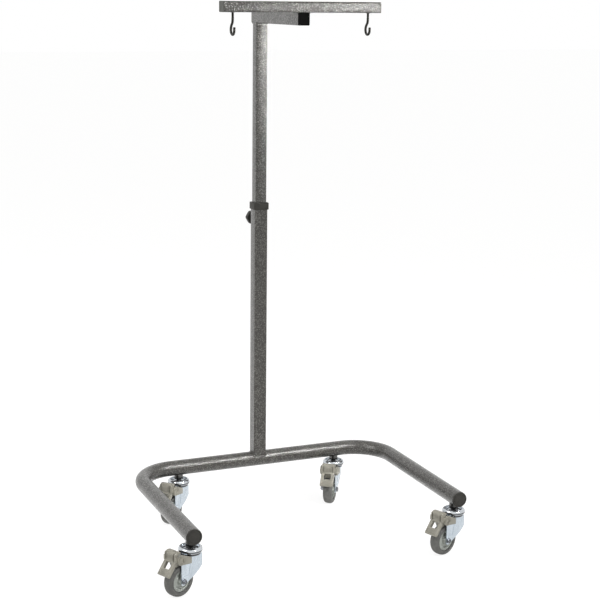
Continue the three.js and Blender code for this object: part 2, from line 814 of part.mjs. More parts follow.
// The sliding upper half: inner tube, arm, crossbar and hooks
function buildTop() {
  const top = new THREE.Group();
  addPiece(top, 'upright_inner', squareTube(innerTubeSize, innerTubeSize, innerTubeCorner, innerTubeWall,
    innerTubeTop - innerTubeBottom), framePaint).position.z = innerTubeBottom;

  const arm = new THREE.Group();
  arm.rotation.x = Math.PI / 2;
  arm.position.set(0, armRear, armTop - armSize / 2);
  addPiece(arm, 'arm', squareTube(armSize, armSize, armCorner, armWall, armLength), framePaint);
  addPiece(arm, 'arm_plug_front', squarePlug(armSize, armSize, armCorner, armWall), darkPlastic)
    .position.z = armLength + seatGap;
  const rear = addPiece(arm, 'arm_plug_rear', squarePlug(armSize, armSize, armCorner, armWall), darkPlastic);
  rear.rotation.y = Math.PI;
  rear.position.z = -seatGap;
  top.add(arm);

  const bar = new THREE.Group();
  bar.rotation.set(0, Math.PI / 2, Math.PI / 2, 'YXZ');
  bar.position.set(-crossbarLength / 2, armFace + crossbarDepth / 2, standHeight - crossbarHeight / 2);
  addPiece(bar, 'crossbar', crossbarTube(), framePaint);
  const plug = () => squarePlug(crossbarDepth, crossbarHeight, crossbarCorner, crossbarWall);
  const left = addPiece(bar, 'crossbar_plug_left', plug(), plugPlastic);
  left.rotation.y = Math.PI;
  left.position.z = -seatGap;
  addPiece(bar, 'crossbar_plug_right', plug(), plugPlastic).position.z = crossbarLength + seatGap;
  top.add(bar);

  for (const [side, name] of [[-1, 'left'], [1, 'right']]) {
    const hanger = new THREE.Group();
    hanger.position.set(side * hookReach, bar.position.y, standHeight - crossbarHeight);
    addPiece(hanger, `hook_${name}`, hook(), darkSteel);
    addPiece(hanger, `hook_insert_${name}`, hookInsert(), darkSteel);
    top.add(hanger);
  }
  return top;
}

// One caster with its boss: the lower part turns to its heading about the swivel axis
function buildCaster(name, x, y, turnShare, alongLeg) {
  const caster = new THREE.Group();
  caster.position.set(x, y, 0);
  const mount = new THREE.Group();
  mount.rotation.z = alongLeg ? Math.PI / 2 : 0;
  addPiece(mount, `${name}_stem_boss`, stemBoss(), darkSteel).position.z = raceSeat;
  addPiece(mount, `${name}_swivel_race`, race(), chromePlate).position.z = raceBottom;
  addPiece(mount, `${name}_king_bolt`, kingBolt(), boltZinc).position.z = crownUnderside;
  caster.add(mount);

  const swivel = new THREE.Group();
  swivel.rotation.z = 2 * Math.PI * turnShare;
  addPiece(swivel, `${name}_fork`, fork(), zincPlate);

  const axle = new THREE.Group();
  axle.position.set(trail, 0, axleHeight);
  const wheel = new THREE.Group();
  wheel.rotation.x = -Math.PI / 2;
  addPiece(wheel, `${name}_tyre`, tyre(), tyreRubber);
  addPiece(wheel, `${name}_hub`, hub(), hubPlastic);
  axle.add(wheel);
  const bolt = addPiece(axle, `${name}_axle_bolt`, axleBolt(), boltZinc);
  bolt.rotation.x = Math.PI / 2;
  bolt.position.y = forkHalf + seatGap;
  const nut = addPiece(axle, `${name}_axle_nut`, axleNut(), boltZinc);
  nut.rotation.x = Math.PI / 2;
  nut.position.y = -forkHalf - seatGap;
  swivel.add(axle);

  const brake = new THREE.Group();
  brake.position.set(pinReach, 0, pinHeight);
  addPiece(brake, `${name}_brake_pedal`, brakePedal(), pedalPlastic);
  const pinLength = 2 * (earInside + pinSeat);
  const pinBar = roundBar(pinDiameter / 2, pinLength, pinSides);
  const pin = addPiece(brake, `${name}_brake_pin`, pinBar, boltZinc);
  pin.rotation.x = Math.PI / 2;
  pin.position.y = pinLength / 2;
  swivel.add(brake);
  caster.add(swivel);
  return caster;
}

stand.add(buildFrame(), buildClamp(), buildTop());
const frontY = frontCasterInset - legReach;
stand.add(
  buildCaster('front_left', -legSpan / 2, frontY, casterTurnShares.frontLeft, true),
  buildCaster('front_right', legSpan / 2, frontY, casterTurnShares.frontRight, true),
  buildCaster('rear_left', -rearCasterSpan / 2, 0, casterTurnShares.rearLeft, false),
  buildCaster('rear_right', rearCasterSpan / 2, 0, casterTurnShares.rearRight, false),
);

// The origin goes on the floor, under the middle of the whole stand's box
stand.updateMatrixWorld(true);
const box = new THREE.Box3().setFromObject(stand, true);
const middle = box.getCenter(new THREE.Vector3());
stand.position.set(-middle.x, -middle.y, -box.min.z);
stand.updateMatrixWorld(true);

export default stand;
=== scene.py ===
import json
import math
from types import SimpleNamespace

import bmesh
import bpy
from mathutils import Matrix, Vector


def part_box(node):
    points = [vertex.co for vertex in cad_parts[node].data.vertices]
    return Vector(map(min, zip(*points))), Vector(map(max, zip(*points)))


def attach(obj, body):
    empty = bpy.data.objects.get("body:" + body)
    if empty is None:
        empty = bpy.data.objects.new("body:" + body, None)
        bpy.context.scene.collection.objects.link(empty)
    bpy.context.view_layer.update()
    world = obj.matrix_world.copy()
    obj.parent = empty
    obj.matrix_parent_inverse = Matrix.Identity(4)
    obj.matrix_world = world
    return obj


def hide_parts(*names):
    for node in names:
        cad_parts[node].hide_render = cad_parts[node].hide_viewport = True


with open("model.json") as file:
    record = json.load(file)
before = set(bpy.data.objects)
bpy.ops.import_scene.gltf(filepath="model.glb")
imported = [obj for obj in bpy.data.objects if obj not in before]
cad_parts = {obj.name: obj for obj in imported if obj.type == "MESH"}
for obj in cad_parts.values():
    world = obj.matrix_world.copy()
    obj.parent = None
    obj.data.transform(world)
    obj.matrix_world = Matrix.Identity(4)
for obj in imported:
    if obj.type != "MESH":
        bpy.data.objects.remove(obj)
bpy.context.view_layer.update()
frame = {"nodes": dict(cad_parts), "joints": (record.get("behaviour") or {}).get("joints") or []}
nodes = frame["nodes"]
joints = {joint["name"]: joint for joint in frame["joints"]}
corners = ["front_left", "front_right", "rear_left", "rear_right"]
print("frame loaded:", len(nodes), "nodes")

mm = 0.001
smoothAngle = 40


# Small helpers

def metres(sizes):
    return SimpleNamespace(**{key: value * mm for key, value in sizes.items()})


def scaled(points):
    return [(first * mm, second * mm) for first, second in points]


def facing(at, side):
    # Lays what stands on Z along Y at a place, towards the front for 1 and the back for -1
    return Matrix.Translation(at) @ Matrix.Rotation(side * math.pi / 2, 4, "X")


def deselectAll():
    if bpy.context.mode != "OBJECT":
        bpy.ops.object.mode_set(mode="OBJECT")
    bpy.ops.object.select_all(action="DESELECT")


def choose(piece):
    deselectAll()
    piece.select_set(True)
    bpy.context.view_layer.objects.active = piece


def added(name):
    # The primitive that was just added gets its name and keeps its place in its mesh
    piece = bpy.context.object
    piece.name = name
    bpy.ops.object.transform_apply(location=True, rotation=True, scale=True)
    return piece


def startEdit(piece):
    choose(piece)
    bpy.ops.object.mode_set(mode="EDIT")
    bpy.ops.mesh.select_mode(type="VERT")
    bpy.ops.mesh.select_all(action="SELECT")


def endEdit():
    bpy.ops.object.mode_set(mode="OBJECT")


def pull(by):
    bpy.ops.mesh.extrude_region_move(TRANSFORM_OT_translate={"value": tuple(by)})


def spread(factor, about):
    bpy.ops.transform.resize(value=tuple(factor), center_override=tuple(about))


def turnRound(centre, axis, degrees, steps):
    # The spin operator counts its angle the other way round
    bpy.ops.mesh.spin(steps=steps, angle=-math.radians(degrees), center=tuple(centre), axis=tuple(axis))


def pick(kind, test):
    # Selects the faces, edges or corners that pass a test
    bpy.ops.mesh.select_mode(type=kind)
    bpy.ops.mesh.select_all(action="DESELECT")
    mesh = bmesh.from_edit_mesh(bpy.context.object.data)
    for part in {"FACE": mesh.faces, "EDGE": mesh.edges, "VERT": mesh.verts}[kind]:
        if test(part):
            part.select_set(True)
    bmesh.update_edit_mesh(bpy.context.object.data)


def weldDoubles():
    bpy.ops.mesh.select_all(action="SELECT")
    bpy.ops.mesh.remove_doubles(threshold=0.01 * mm)
    bpy.ops.mesh.normals_make_consistent(inside=False)


def modify(piece, kind, **settings):
    choose(piece)
    modifier = piece.modifiers.new(kind.lower(), kind)
    for key, value in settings.items():
        setattr(modifier, key, value)
    bpy.ops.object.modifier_apply(modifier=modifier.name)
    return piece


def joinFlats(piece):
    # Flat neighbours become one face, so that a bevel or an inset meets real edges only
    return modify(piece, "DECIMATE", decimate_type="DISSOLVE", angle_limit=math.radians(1))


def roundEdges(piece, width, segments=3, angle=30):
    joinFlats(piece)
    return modify(piece, "BEVEL", width=width, segments=segments, limit_method="ANGLE",
                  angle_limit=math.radians(angle), use_clamp_overlap=True)


def combine(piece, tool, operation="DIFFERENCE"):
    modify(piece, "BOOLEAN", operation=operation, object=tool, solver="MANIFOLD")
    bpy.data.objects.remove(tool)
    return piece


def smooth(piece, angle=smoothAngle):
    choose(piece)
    bpy.ops.object.shade_smooth_by_angle(angle=math.radians(angle))
    return piece


def move(piece, matrix):
    piece.data.transform(matrix)
    piece.data.update()
    return piece


def copyOf(piece, name, matrix):
    twin = bpy.data.objects.new(name, piece.data.copy())
    bpy.context.scene.collection.objects.link(twin)
    return move(twin, matrix)


def dress(piece, look, body, slot, *replaced, angle=smoothAngle):
    # The last step of each piece: its shading, its finish and its place in the frame
    smooth(piece, angle)
    piece.data.materials.clear()
    piece.data.materials.append(finish[look])
    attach(piece, body)
    if replaced:
        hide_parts(*replaced)


def paintNode(node, look):
    # A CAD node keeps its mesh and gets a better finish
    nodes[node].data.materials.clear()
    nodes[node].data.materials.append(finish[look])


def block(name, low, high):
    deselectAll()
    middle = (Vector(low) + Vector(high)) / 2
    bpy.ops.mesh.primitive_cube_add(size=1, location=middle, scale=Vector(high) - Vector(low))
    return added(name)


def rod(name, radius, low, high, axis="Z", sides=48):
    # A plain round bar between two points on one axis, for cuts and shanks
    deselectAll()
    low, high = Vector(low), Vector(high)
    turns = {"X": (0, math.pi / 2, 0), "Y": (math.pi / 2, 0, 0), "Z": (0, 0, 0)}
    bpy.ops.mesh.primitive_cylinder_add(vertices=sides, radius=radius, depth=(high - low).length,
                                        location=(low + high) / 2, rotation=turns[axis])
    return added(name)


def turned(name, rings, sides=64, closed=False):
    # Rings of (radius, height) about Z: a circle is added, then pulled up and spread ring by ring
    deselectAll()
    fill = "NOTHING" if closed else "NGON"
    bpy.ops.mesh.primitive_circle_add(vertices=sides, radius=rings[0][0], fill_type=fill,
                                      location=(0, 0, rings[0][1]))
    piece = added(name)
    startEdit(piece)
    for (radiusA, heightA), (radiusB, heightB) in zip(rings, rings[1:]):
        pull((0, 0, heightB - heightA))
        spread((radiusB / radiusA, radiusB / radiusA, 1), (0, 0, heightB))
    weldDoubles()
    endEdit()
    return smooth(piece)


def arc(centre, radius, fromDegrees, toDegrees, steps):
    points = []
    for i in range(steps + 1):
        angle = math.radians(fromDegrees + (toDegrees - fromDegrees) * i / steps)
        points.append((centre[0] + radius * math.cos(angle), centre[1] + radius * math.sin(angle)))
    return points


def outlined(name, outline, low, high, up="Y"):
    # One corner is pulled round an outline in X and Z (or X and Y), filled and pulled to its width
    deselectAll()
    if up == "Y":
        points = [Vector((x, low, z)) for x, z in outline]
        width = (0, high - low, 0)
    else:
        points = [Vector((x, y, low)) for x, y in outline]
        width = (0, 0, high - low)
    bpy.ops.mesh.primitive_plane_add(size=mm, location=points[0])
    piece = added(name)
    startEdit(piece)
    bpy.ops.mesh.merge(type="CENTER")
    for here, there in zip(points, points[1:] + points[:1]):
        pull(there - here)
    bpy.ops.mesh.select_all(action="SELECT")
    bpy.ops.mesh.remove_doubles(threshold=0.01 * mm)
    bpy.ops.mesh.edge_face_add()
    bpy.ops.mesh.select_all(action="SELECT")
    pull(width)
    weldDoubles()
    endEdit()
    return piece


def mathNode(tree, first, second, operation="ADD"):
    result = tree.nodes.new("ShaderNodeMath")
    result.operation = operation
    tree.links.new(first, result.inputs[0])
    if isinstance(second, (int, float)):
        result.inputs[1].default_value = second
    else:
        tree.links.new(second, result.inputs[1])
    return result.outputs[0]


# Camera, light and floor

view = {
    "place": (-1.34721, -3.2704, 1.38764),
    "heading": -23.142,
    "pitch": 12.015,
    "roll": 0.659,
    "lens": 86.49,
    "sensor": 36,
}

studio = {
    "floorSize": 60,
    "floorColour": (0.9, 0.9, 0.89),
    "floorRoughness": 0.9,
    "floorWhite": 0.72,
    "floorGlow": 1.14,
    "worldLevel": 0.62,
    "lamps": [
        # name, place, aim, size, spread in degrees, watts
        ("keyLamp", (-3.3, -0.5, 2.9), (0, 0, 0.7), (2.2, 2.2), 180, 80),
        ("topLamp", (0.4, -0.6, 3.6), (0, 0, 0.6), (1.8, 1.8), 180, 13),
        ("rightLamp", (2.3, -2.5, 1.38), (0.27, -0.05, 1.35), (0.7, 0.4), 16, 1.55),
        ("stripLamp", (1.2, -1.9, 2.1), (0.1, 0.2, 0.15), (1.3, 0.14), 30, 3.6),
    ],
}


def makeCamera():
    camera = bpy.data.objects.new("camera", bpy.data.cameras.new("camera"))
    bpy.context.scene.collection.objects.link(camera)
    camera.data.lens = view["lens"]
    camera.data.sensor_width = view["sensor"]
    camera.data.clip_end = 100
    turn = Matrix.Rotation(math.radians(view["heading"]), 4, "Z")
    tilt = Matrix.Rotation(math.radians(90 - view["pitch"]), 4, "X")
    roll = Matrix.Rotation(math.radians(view["roll"]), 4, "Z")
    camera.matrix_world = Matrix.Translation(view["place"]) @ turn @ tilt @ roll
    bpy.context.scene.camera = camera


def mixSeen(tree, shaded, white, share, target):
    # Rays from the camera, a mirror or glass see a share of white over the shaded surface
    path = tree.nodes.new("ShaderNodeLightPath").outputs
    seen = mathNode(tree, path["Is Camera Ray"], path["Is Glossy Ray"], "MAXIMUM")
    seen = mathNode(tree, seen, path["Is Transmission Ray"], "MAXIMUM")
    mix = tree.nodes.new("ShaderNodeMixShader")
    tree.links.new(mathNode(tree, seen, share, "MULTIPLY"), mix.inputs[0])
    tree.links.new(shaded.outputs[0], mix.inputs[1])
    tree.links.new(white.outputs[0], mix.inputs[2])
    tree.links.new(mix.outputs[0], target.inputs["Surface"])


def makeWorld():
    scene = bpy.context.scene
    scene.view_settings.view_transform = "Standard"
    world = bpy.data.worlds.new("studio")
    scene.world = world
    world.use_nodes = True
    tree = world.node_tree
    lit = tree.nodes["Background"]
    lit.inputs["Color"].default_value = (1, 1, 1, 1)
    lit.inputs["Strength"].default_value = studio["worldLevel"]
    white = tree.nodes.new("ShaderNodeBackground")
    white.inputs["Color"].default_value = (1, 1, 1, 1)
    white.inputs["Strength"].default_value = 1
    mixSeen(tree, lit, white, 1, tree.nodes["World Output"])


def makeFloor():
    deselectAll()
    bpy.ops.mesh.primitive_plane_add(size=studio["floorSize"])
    floor = added("floor")
    paper = bpy.data.materials.new("paleFloor")
    paper.use_nodes = True
    tree = paper.node_tree
    shader = tree.nodes["Principled BSDF"]
    shader.inputs["Base Color"].default_value = (*studio["floorColour"], 1)
    shader.inputs["Roughness"].default_value = studio["floorRoughness"]
    glow = tree.nodes.new("ShaderNodeEmission")
    glow.inputs["Strength"].default_value = studio["floorGlow"]
    mixSeen(tree, shader, glow, studio["floorWhite"], tree.nodes["Material Output"])
    floor.data.materials.append(paper)


def makeLamps():
    for name, place, aim, size, spreadDegrees, watts in studio["lamps"]:
        light = bpy.data.lights.new(name, "AREA")
        light.shape = "RECTANGLE"
        light.size, light.size_y = size
        light.spread = math.radians(spreadDegrees)
        light.energy = watts
        lamp = bpy.data.objects.new(name, light)
        bpy.context.scene.collection.objects.link(lamp)
        lamp.location = place
        lamp.rotation_euler = (Vector(aim) - Vector(place)).to_track_quat("-Z", "Y").to_euler()


makeCamera()
makeWorld()
makeFloor()
makeLamps()
print("camera and studio ready")


# Finishes, each on object coordinates

def newFinish(name, colour, roughness, metallic):
    material = bpy.data.materials.new(name)
    material.use_nodes = True
    shader = material.node_tree.nodes["Principled BSDF"]
    shader.inputs["Base Color"].default_value = (*colour, 1)
    shader.inputs["Roughness"].default_value = roughness
    shader.inputs["Metallic"].default_value = metallic
    place = material.node_tree.nodes.new("ShaderNodeTexCoord")
    return material, material.node_tree, shader, place.outputs["Object"]


def noiseOn(tree, place, size, detail=2, roughness=0.5):
    noise = tree.nodes.new("ShaderNodeTexNoise")
    noise.inputs["Scale"].default_value = 1 / size
    noise.inputs["Detail"].default_value = detail
    noise.inputs["Roughness"].default_value = roughness
    tree.links.new(place, noise.inputs["Vector"])
    return noise.outputs["Fac"]


def cellsOn(tree, place, size, feature, softness=None):
    cells = tree.nodes.new("ShaderNodeTexVoronoi")
    cells.feature = feature
    cells.inputs["Scale"].default_value = 1 / size
    if softness is not None:
        cells.inputs["Smoothness"].default_value = softness
    tree.links.new(place, cells.inputs["Vector"])
    return cells.outputs["Distance"]


def mapped(tree, value, fromLow, fromHigh, toLow, toHigh):
    remap = tree.nodes.new("ShaderNodeMapRange")
    remap.inputs["From Min"].default_value = fromLow
    remap.inputs["From Max"].default_value = fromHigh
    remap.inputs["To Min"].default_value = toLow
    remap.inputs["To Max"].default_value = toHigh
    tree.links.new(value, remap.inputs["Value"])
    return remap.outputs["Result"]


def blended(tree, share, colourA, colourB):
    # From the first colour to the second as the share goes from 0 to 1
    mix = tree.nodes.new("ShaderNodeMix")
    mix.data_type = "RGBA"
    for socket, colour in ((mix.inputs["A"], colourA), (mix.inputs["B"], colourB)):
        if isinstance(colour, tuple):
            socket.default_value = (*colour, 1)
        else:
            tree.links.new(colour, socket)
    tree.links.new(share, mix.inputs["Factor"])
    return mix.outputs["Result"]


def bumped(tree, shader, height, strength, depth):
    # Gives the shader its bump, and returns the normal for a coat that follows it
    bump = tree.nodes.new("ShaderNodeBump")
    bump.inputs["Strength"].default_value = strength
    bump.inputs["Distance"].default_value = depth
    tree.links.new(height, bump.inputs["Height"])
    tree.links.new(bump.outputs["Normal"], shader.inputs["Normal"])
    return bump.outputs["Normal"]


hammerPaint = {
    "low": (0.027, 0.025, 0.021),
    "middle": (0.068, 0.065, 0.058),
    "high": (0.16, 0.155, 0.142),
    "cell": 3.8,
    "softness": 0.35,
    "patch": 13.2,
    "roughness": 0.36,
    "metallic": 0.3,
    "gloss": 0.3,
    "coat": 0.75,
    "coatRoughness": 0.13,
    "bump": 1,
    "depth": 0.44,
}


def makeHammerPaint():
    # Grey hammertone enamel: small glossy dimples under a clear coat, with a little pale flake between them
    d = hammerPaint
    material, tree, shader, place = newFinish("hammerPaint", d["middle"], d["roughness"], d["metallic"])
    shader.inputs["Specular IOR Level"].default_value = d["gloss"]
    shader.inputs["Coat Weight"].default_value = d["coat"]
    shader.inputs["Coat Roughness"].default_value = d["coatRoughness"]
    cells = cellsOn(tree, place, d["cell"] * mm, "SMOOTH_F1", d["softness"])
    fine = cellsOn(tree, place, d["cell"] / 2 * mm, "F1")
    patches = noiseOn(tree, place, d["patch"] * mm, 3)
    largeDots = mathNode(tree, mapped(tree, cells, 0.12, 0.62, 1, 0), 0.7, "MULTIPLY")
    smallDots = mathNode(tree, mapped(tree, fine, 0.1, 0.7, 1, 0), 0.3, "MULTIPLY")
    flake = mathNode(tree, largeDots, smallDots)
    tint = mathNode(tree, flake, mapped(tree, patches, 0.3, 0.7, -0.12, 0.12))
    dark = blended(tree, mapped(tree, tint, 0.1, 0.55, 0, 1), d["low"], d["middle"])
    colour = blended(tree, mapped(tree, tint, 0.5, 1.0, 0, 1), dark, d["high"])
    tree.links.new(colour, shader.inputs["Base Color"])
    tree.links.new(mapped(tree, tint, 0, 1, d["roughness"] + 0.1, d["roughness"] - 0.08),
                   shader.inputs["Roughness"])
    dimples = bumped(tree, shader, flake, d["bump"], d["depth"] * mm)
    tree.links.new(dimples, shader.inputs["Coat Normal"])
    return material


plastics = {
    "darkPlastic": {"colour": (0.022, 0.021, 0.018), "pale": (0.036, 0.034, 0.03), "roughness": 0.5,
                    "grain": 0.5, "bump": 0.25, "gloss": 0.25},
    "blackPlastic": {"colour": (0.002, 0.002, 0.002), "pale": (0.004, 0.004, 0.004), "roughness": 0.7,
                     "grain": 0.5, "bump": 0.2, "gloss": 0.03},
    "plugPlastic": {"colour": (0.06, 0.062, 0.056), "pale": (0.095, 0.097, 0.088), "roughness": 0.55,
                    "grain": 0.6, "bump": 0.2, "gloss": 0.25},
    "pedalPlastic": {"colour": (0.195, 0.185, 0.152), "pale": (0.26, 0.249, 0.208), "roughness": 0.42,
                     "grain": 0.7, "bump": 0.18, "gloss": 0.5},
    "hubPlastic": {"colour": (0.28, 0.296, 0.272), "pale": (0.36, 0.378, 0.35), "roughness": 0.55,
                   "grain": 0.6, "bump": 0.2, "gloss": 0.5},
}


moulding = {"drift": 18, "grainDepth": 0.08}


def makePlastic(name):
    # Moulded plastic: a slow drift of shade and gloss, and a fine grain
    d = plastics[name]
    material, tree, shader, place = newFinish(name, d["colour"], d["roughness"], 0)
    shader.inputs["Specular IOR Level"].default_value = d["gloss"]
    drift = noiseOn(tree, place, moulding["drift"] * mm, 3, 0.6)
    grain = noiseOn(tree, place, d["grain"] * mm, 2, 0.6)
    colour = blended(tree, mapped(tree, drift, 0.3, 0.7, 0, 1), d["colour"], d["pale"])
    tree.links.new(colour, shader.inputs["Base Color"])
    tree.links.new(mapped(tree, drift, 0.2, 0.8, d["roughness"] - 0.06, d["roughness"] + 0.08),
                   shader.inputs["Roughness"])
    bumped(tree, shader, grain, d["bump"], moulding["grainDepth"] * mm)
    return material


tyreRubber = {
    "colour": (0.068, 0.068, 0.064),
    "dusty": (0.14, 0.139, 0.13),
    "roughness": 0.62,
    "patch": 14,
    "speck": 0.9,
    "bump": 0.35,
    "depth": 0.1,
}


def makeTyreRubber():
    # Grey rubber with a little dust in patches
    d = tyreRubber
    material, tree, shader, place = newFinish("tyreRubber", d["colour"], d["roughness"], 0)
    patches = noiseOn(tree, place, d["patch"] * mm, 4, 0.65)
    specks = noiseOn(tree, place, d["speck"] * mm, 2, 0.6)
    dust = mathNode(tree, mapped(tree, patches, 0.35, 0.75, 0, 0.7), mapped(tree, specks, 0.5, 0.8, 0, 0.3))
    tree.links.new(blended(tree, dust, d["colour"], d["dusty"]), shader.inputs["Base Color"])
    tree.links.new(mapped(tree, patches, 0.3, 0.7, d["roughness"] - 0.06, d["roughness"] + 0.16),
                   shader.inputs["Roughness"])
    bumped(tree, shader, specks, d["bump"], d["depth"] * mm)
    return material


metals = {
    "chromePlate": {"colour": (0.62, 0.645, 0.67), "dull": (0.5, 0.525, 0.555), "low": 0.05, "high": 0.14,
                    "stretch": (1, 1, 1), "bump": 0.02,
                    # The race's dark band below its widest level is painted shade, set in the material by
                    # height
                    "grease": {"colour": (0.08, 0.083, 0.088), "from": 106.4, "to": 107.6,
                               "lip": 104.6, "wiped": 0.6}},
    "zincPlate": {"colour": (0.58, 0.64, 0.695), "dull": (0.47, 0.525, 0.575), "low": 0.2, "high": 0.34,
                  "stretch": (1, 1, 0.25), "bump": 0.08,
                  # The fork's lip under the race is darkened with painted shade, set in the material by
                  # height
                  "grease": {"colour": (0.07, 0.07, 0.072), "from": 96.6, "to": 95.4}},
    "boltZinc": {"colour": (0.3, 0.31, 0.33), "dull": (0.18, 0.185, 0.2), "low": 0.24, "high": 0.4,
                 "stretch": (1, 1, 1), "bump": 0.1},
    "bossSteel": {"colour": (0.13, 0.13, 0.128), "dull": (0.055, 0.054, 0.052), "low": 0.12, "high": 0.3,
                  "stretch": (1, 1, 1), "bump": 0.1},
    "blackSteel": {"colour": (0.036, 0.035, 0.031), "dull": (0.016, 0.015, 0.013), "low": 0.24,
                   "high": 0.42, "stretch": (1, 1, 1), "bump": 0.15},
}
plating = {"metallic": 0.95, "cloud": 9, "scratch": 0.8, "depth": 0.05}


def makeMetal(name):
    # Plated steel: cloudy patches in shade and gloss, drawn out along one axis where it was rolled
    d = metals[name]
    material, tree, shader, place = newFinish(name, d["colour"], d["low"], plating["metallic"])
    drawn = tree.nodes.new("ShaderNodeMapping")
    drawn.inputs["Scale"].default_value = d["stretch"]
    tree.links.new(place, drawn.inputs["Vector"])
    clouds = noiseOn(tree, drawn.outputs[0], plating["cloud"] * mm, 4, 0.6)
    fine = noiseOn(tree, drawn.outputs[0], plating["scratch"] * mm, 3, 0.6)
    shade = mathNode(tree, mapped(tree, clouds, 0.35, 0.7, 0, 0.75), mapped(tree, fine, 0.4, 0.8, 0, 0.25))
    colour = blended(tree, shade, d["colour"], d["dull"])
    if "grease" in d:
        # Painted shade darkens the running gap by height: the plain colour starts past one level above the
        # floor, and a lip below a second level loses most of the painted shade again
        # The dark colour below is painted shade, not a stain on the metal
        grease = d["grease"]
        split = tree.nodes.new("ShaderNodeSeparateXYZ")
        tree.links.new(place, split.inputs[0])
        level = split.outputs["Z"]
        unshaded = mapped(tree, level, grease["from"] * mm, grease["to"] * mm, 0, 1)
        if "lip" in grease:
            lip = mapped(tree, level, grease["lip"] * mm, (grease["lip"] - 1) * mm, 0, grease["wiped"])
            unshaded = mathNode(tree, unshaded, lip, "MAXIMUM")
        colour = blended(tree, unshaded, grease["colour"], colour)
    tree.links.new(colour, shader.inputs["Base Color"])
    tree.links.new(mapped(tree, clouds, 0.3, 0.7, d["low"], d["high"]), shader.inputs["Roughness"])
    bumped(tree, shader, fine, d["bump"], plating["depth"] * mm)
    return material


finish = {"hammerPaint": makeHammerPaint(), "tyreRubber": makeTyreRubber()}
for name in plastics:
    finish[name] = makePlastic(name)
for name in metals:
    finish[name] = makeMetal(name)
print("finishes ready:", ", ".join(finish))


# The painted frame

baseBar = {
    "tube": 20,
    "wall": 2,
    "bend": 103.4,
    "sides": 64,
    "bendSteps": 28,
}


def makeBaseBar():
    # One ring is pulled along a leg, spun round a bend, pulled along the rear bar and back out again
    d = metres(baseBar)
    steps = baseBar["bendSteps"]
    low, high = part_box("base_tube")
    left, right, back = low.x + d.tube, high.x - d.tube, high.y - d.tube
    level = (low.z + high.z) / 2
    deselectAll()
    bpy.ops.mesh.primitive_circle_add(vertices=baseBar["sides"], radius=d.tube,
                                      location=(left, low.y, level), rotation=(math.pi / 2, 0, 0))
    piece = added("baseBar")
    startEdit(piece)
    pull((0, back - d.bend - low.y, 0))
    turnRound((left + d.bend, back - d.bend, level), (0, 0, 1), -90, steps)
    pull((right - left - 2 * d.bend, 0, 0))
    turnRound((right - d.bend, back - d.bend, level), (0, 0, 1), -90, steps)
    pull((0, low.y - back + d.bend, 0))
    weldDoubles()
    endEdit()
    modify(piece, "SOLIDIFY", thickness=d.wall, offset=-1)
    dress(piece, "hammerPaint", "frame", "frame_paint", "base_tube")


squareTubes = {
    # node: name, body, axis of the tube, corner radius, wall
    "upright_outer": ("uprightLower", "frame", 2, 3.2, 2),
    "upright_inner": ("uprightUpper", "top_unit", 2, 2.8, 2),
    "arm": ("armTube", "top_unit", 1, 2.8, 2),
    "crossbar": ("crossbarTube", "top_unit", 0, 2.8, 2),
}


def makeSquareTube(node, name, along, corner, wall):
    # A block with its long edges rounded, its ends taken off and its wall given
    low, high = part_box(node)
    piece = block(name, low, high)
    startEdit(piece)

    def runsAlong(edge):
        run = edge.verts[1].co - edge.verts[0].co
        return abs(run[along]) > 0.9 * (high[along] - low[along])

    pick("EDGE", runsAlong)
    bpy.ops.mesh.bevel(offset=corner * mm, segments=5, affect="EDGES")
    pick("FACE", lambda face: abs(face.normal[along]) > 0.9)
    bpy.ops.mesh.delete(type="FACE")
    endEdit()
    modify(piece, "SOLIDIFY", thickness=wall * mm, offset=-1)
    return piece


def makeFrameTubes():
    # The lower upright is coped where it stands on the rear bar
    for node, (name, body, along, corner, wall) in squareTubes.items():
        piece = makeSquareTube(node, name, along, corner, wall)
        if node == "upright_outer":
            low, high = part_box("base_tube")
            radius = baseBar["tube"] * mm
            middle = Vector(((low.x + high.x) / 2, high.y - radius, (low.z + high.z) / 2))
            reach = Vector((2 * radius, 0, 0))
            combine(piece, rod("cope", radius, middle - reach, middle + reach, "X", 96))
        dress(piece, "hammerPaint", body, "frame_paint", node)


makeBaseBar()
makeFrameTubes()
print("frame tubes ready")

legCap = {
    "flange": 19.5,
    "rim": 2.6,
    "edge": 1,
    "ring": 16.4,
    "ringFoot": 16,
    "groove": 0.8,
    "domeFoot": 15.4,
    "dome": 14.9,
    "crown": 4.6,
    "plug": 17.2,
    "plugLength": 14,
}


def makeLegCaps():
    # A flat rim, a groove inside it and a shallow dome, with a plug behind
    d = metres(legCap)
    rings = [(d.plug, -d.plugLength), (d.plug, 0), (d.flange, 0), (d.flange, d.rim - d.edge)]
    rings += arc((d.flange - d.edge, d.rim - d.edge), d.edge, 0, 90, 5)[1:]
    rings += [(d.ring, d.rim), (d.ringFoot, d.rim - d.groove), (d.domeFoot, d.rim - d.groove),
              (d.dome, d.rim)]
    for share in (0.9, 0.75, 0.5, 0.25, 0.08):
        rings.append((d.dome * share, d.rim + (d.crown - d.rim) * (1 - share * share)))
    master = turned("capMaster", rings)
    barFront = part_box("base_tube")[0].y
    for side in ("left", "right"):
        low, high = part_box("end_cap_" + side)
        at = ((low.x + high.x) / 2, barFront, (low.z + high.z) / 2)
        piece = copyOf(master, "legCap" + side.title(), facing(at, 1))
        dress(piece, "darkPlastic", "frame", "dark_plastic", "end_cap_" + side, angle=30)
    bpy.data.objects.remove(master)


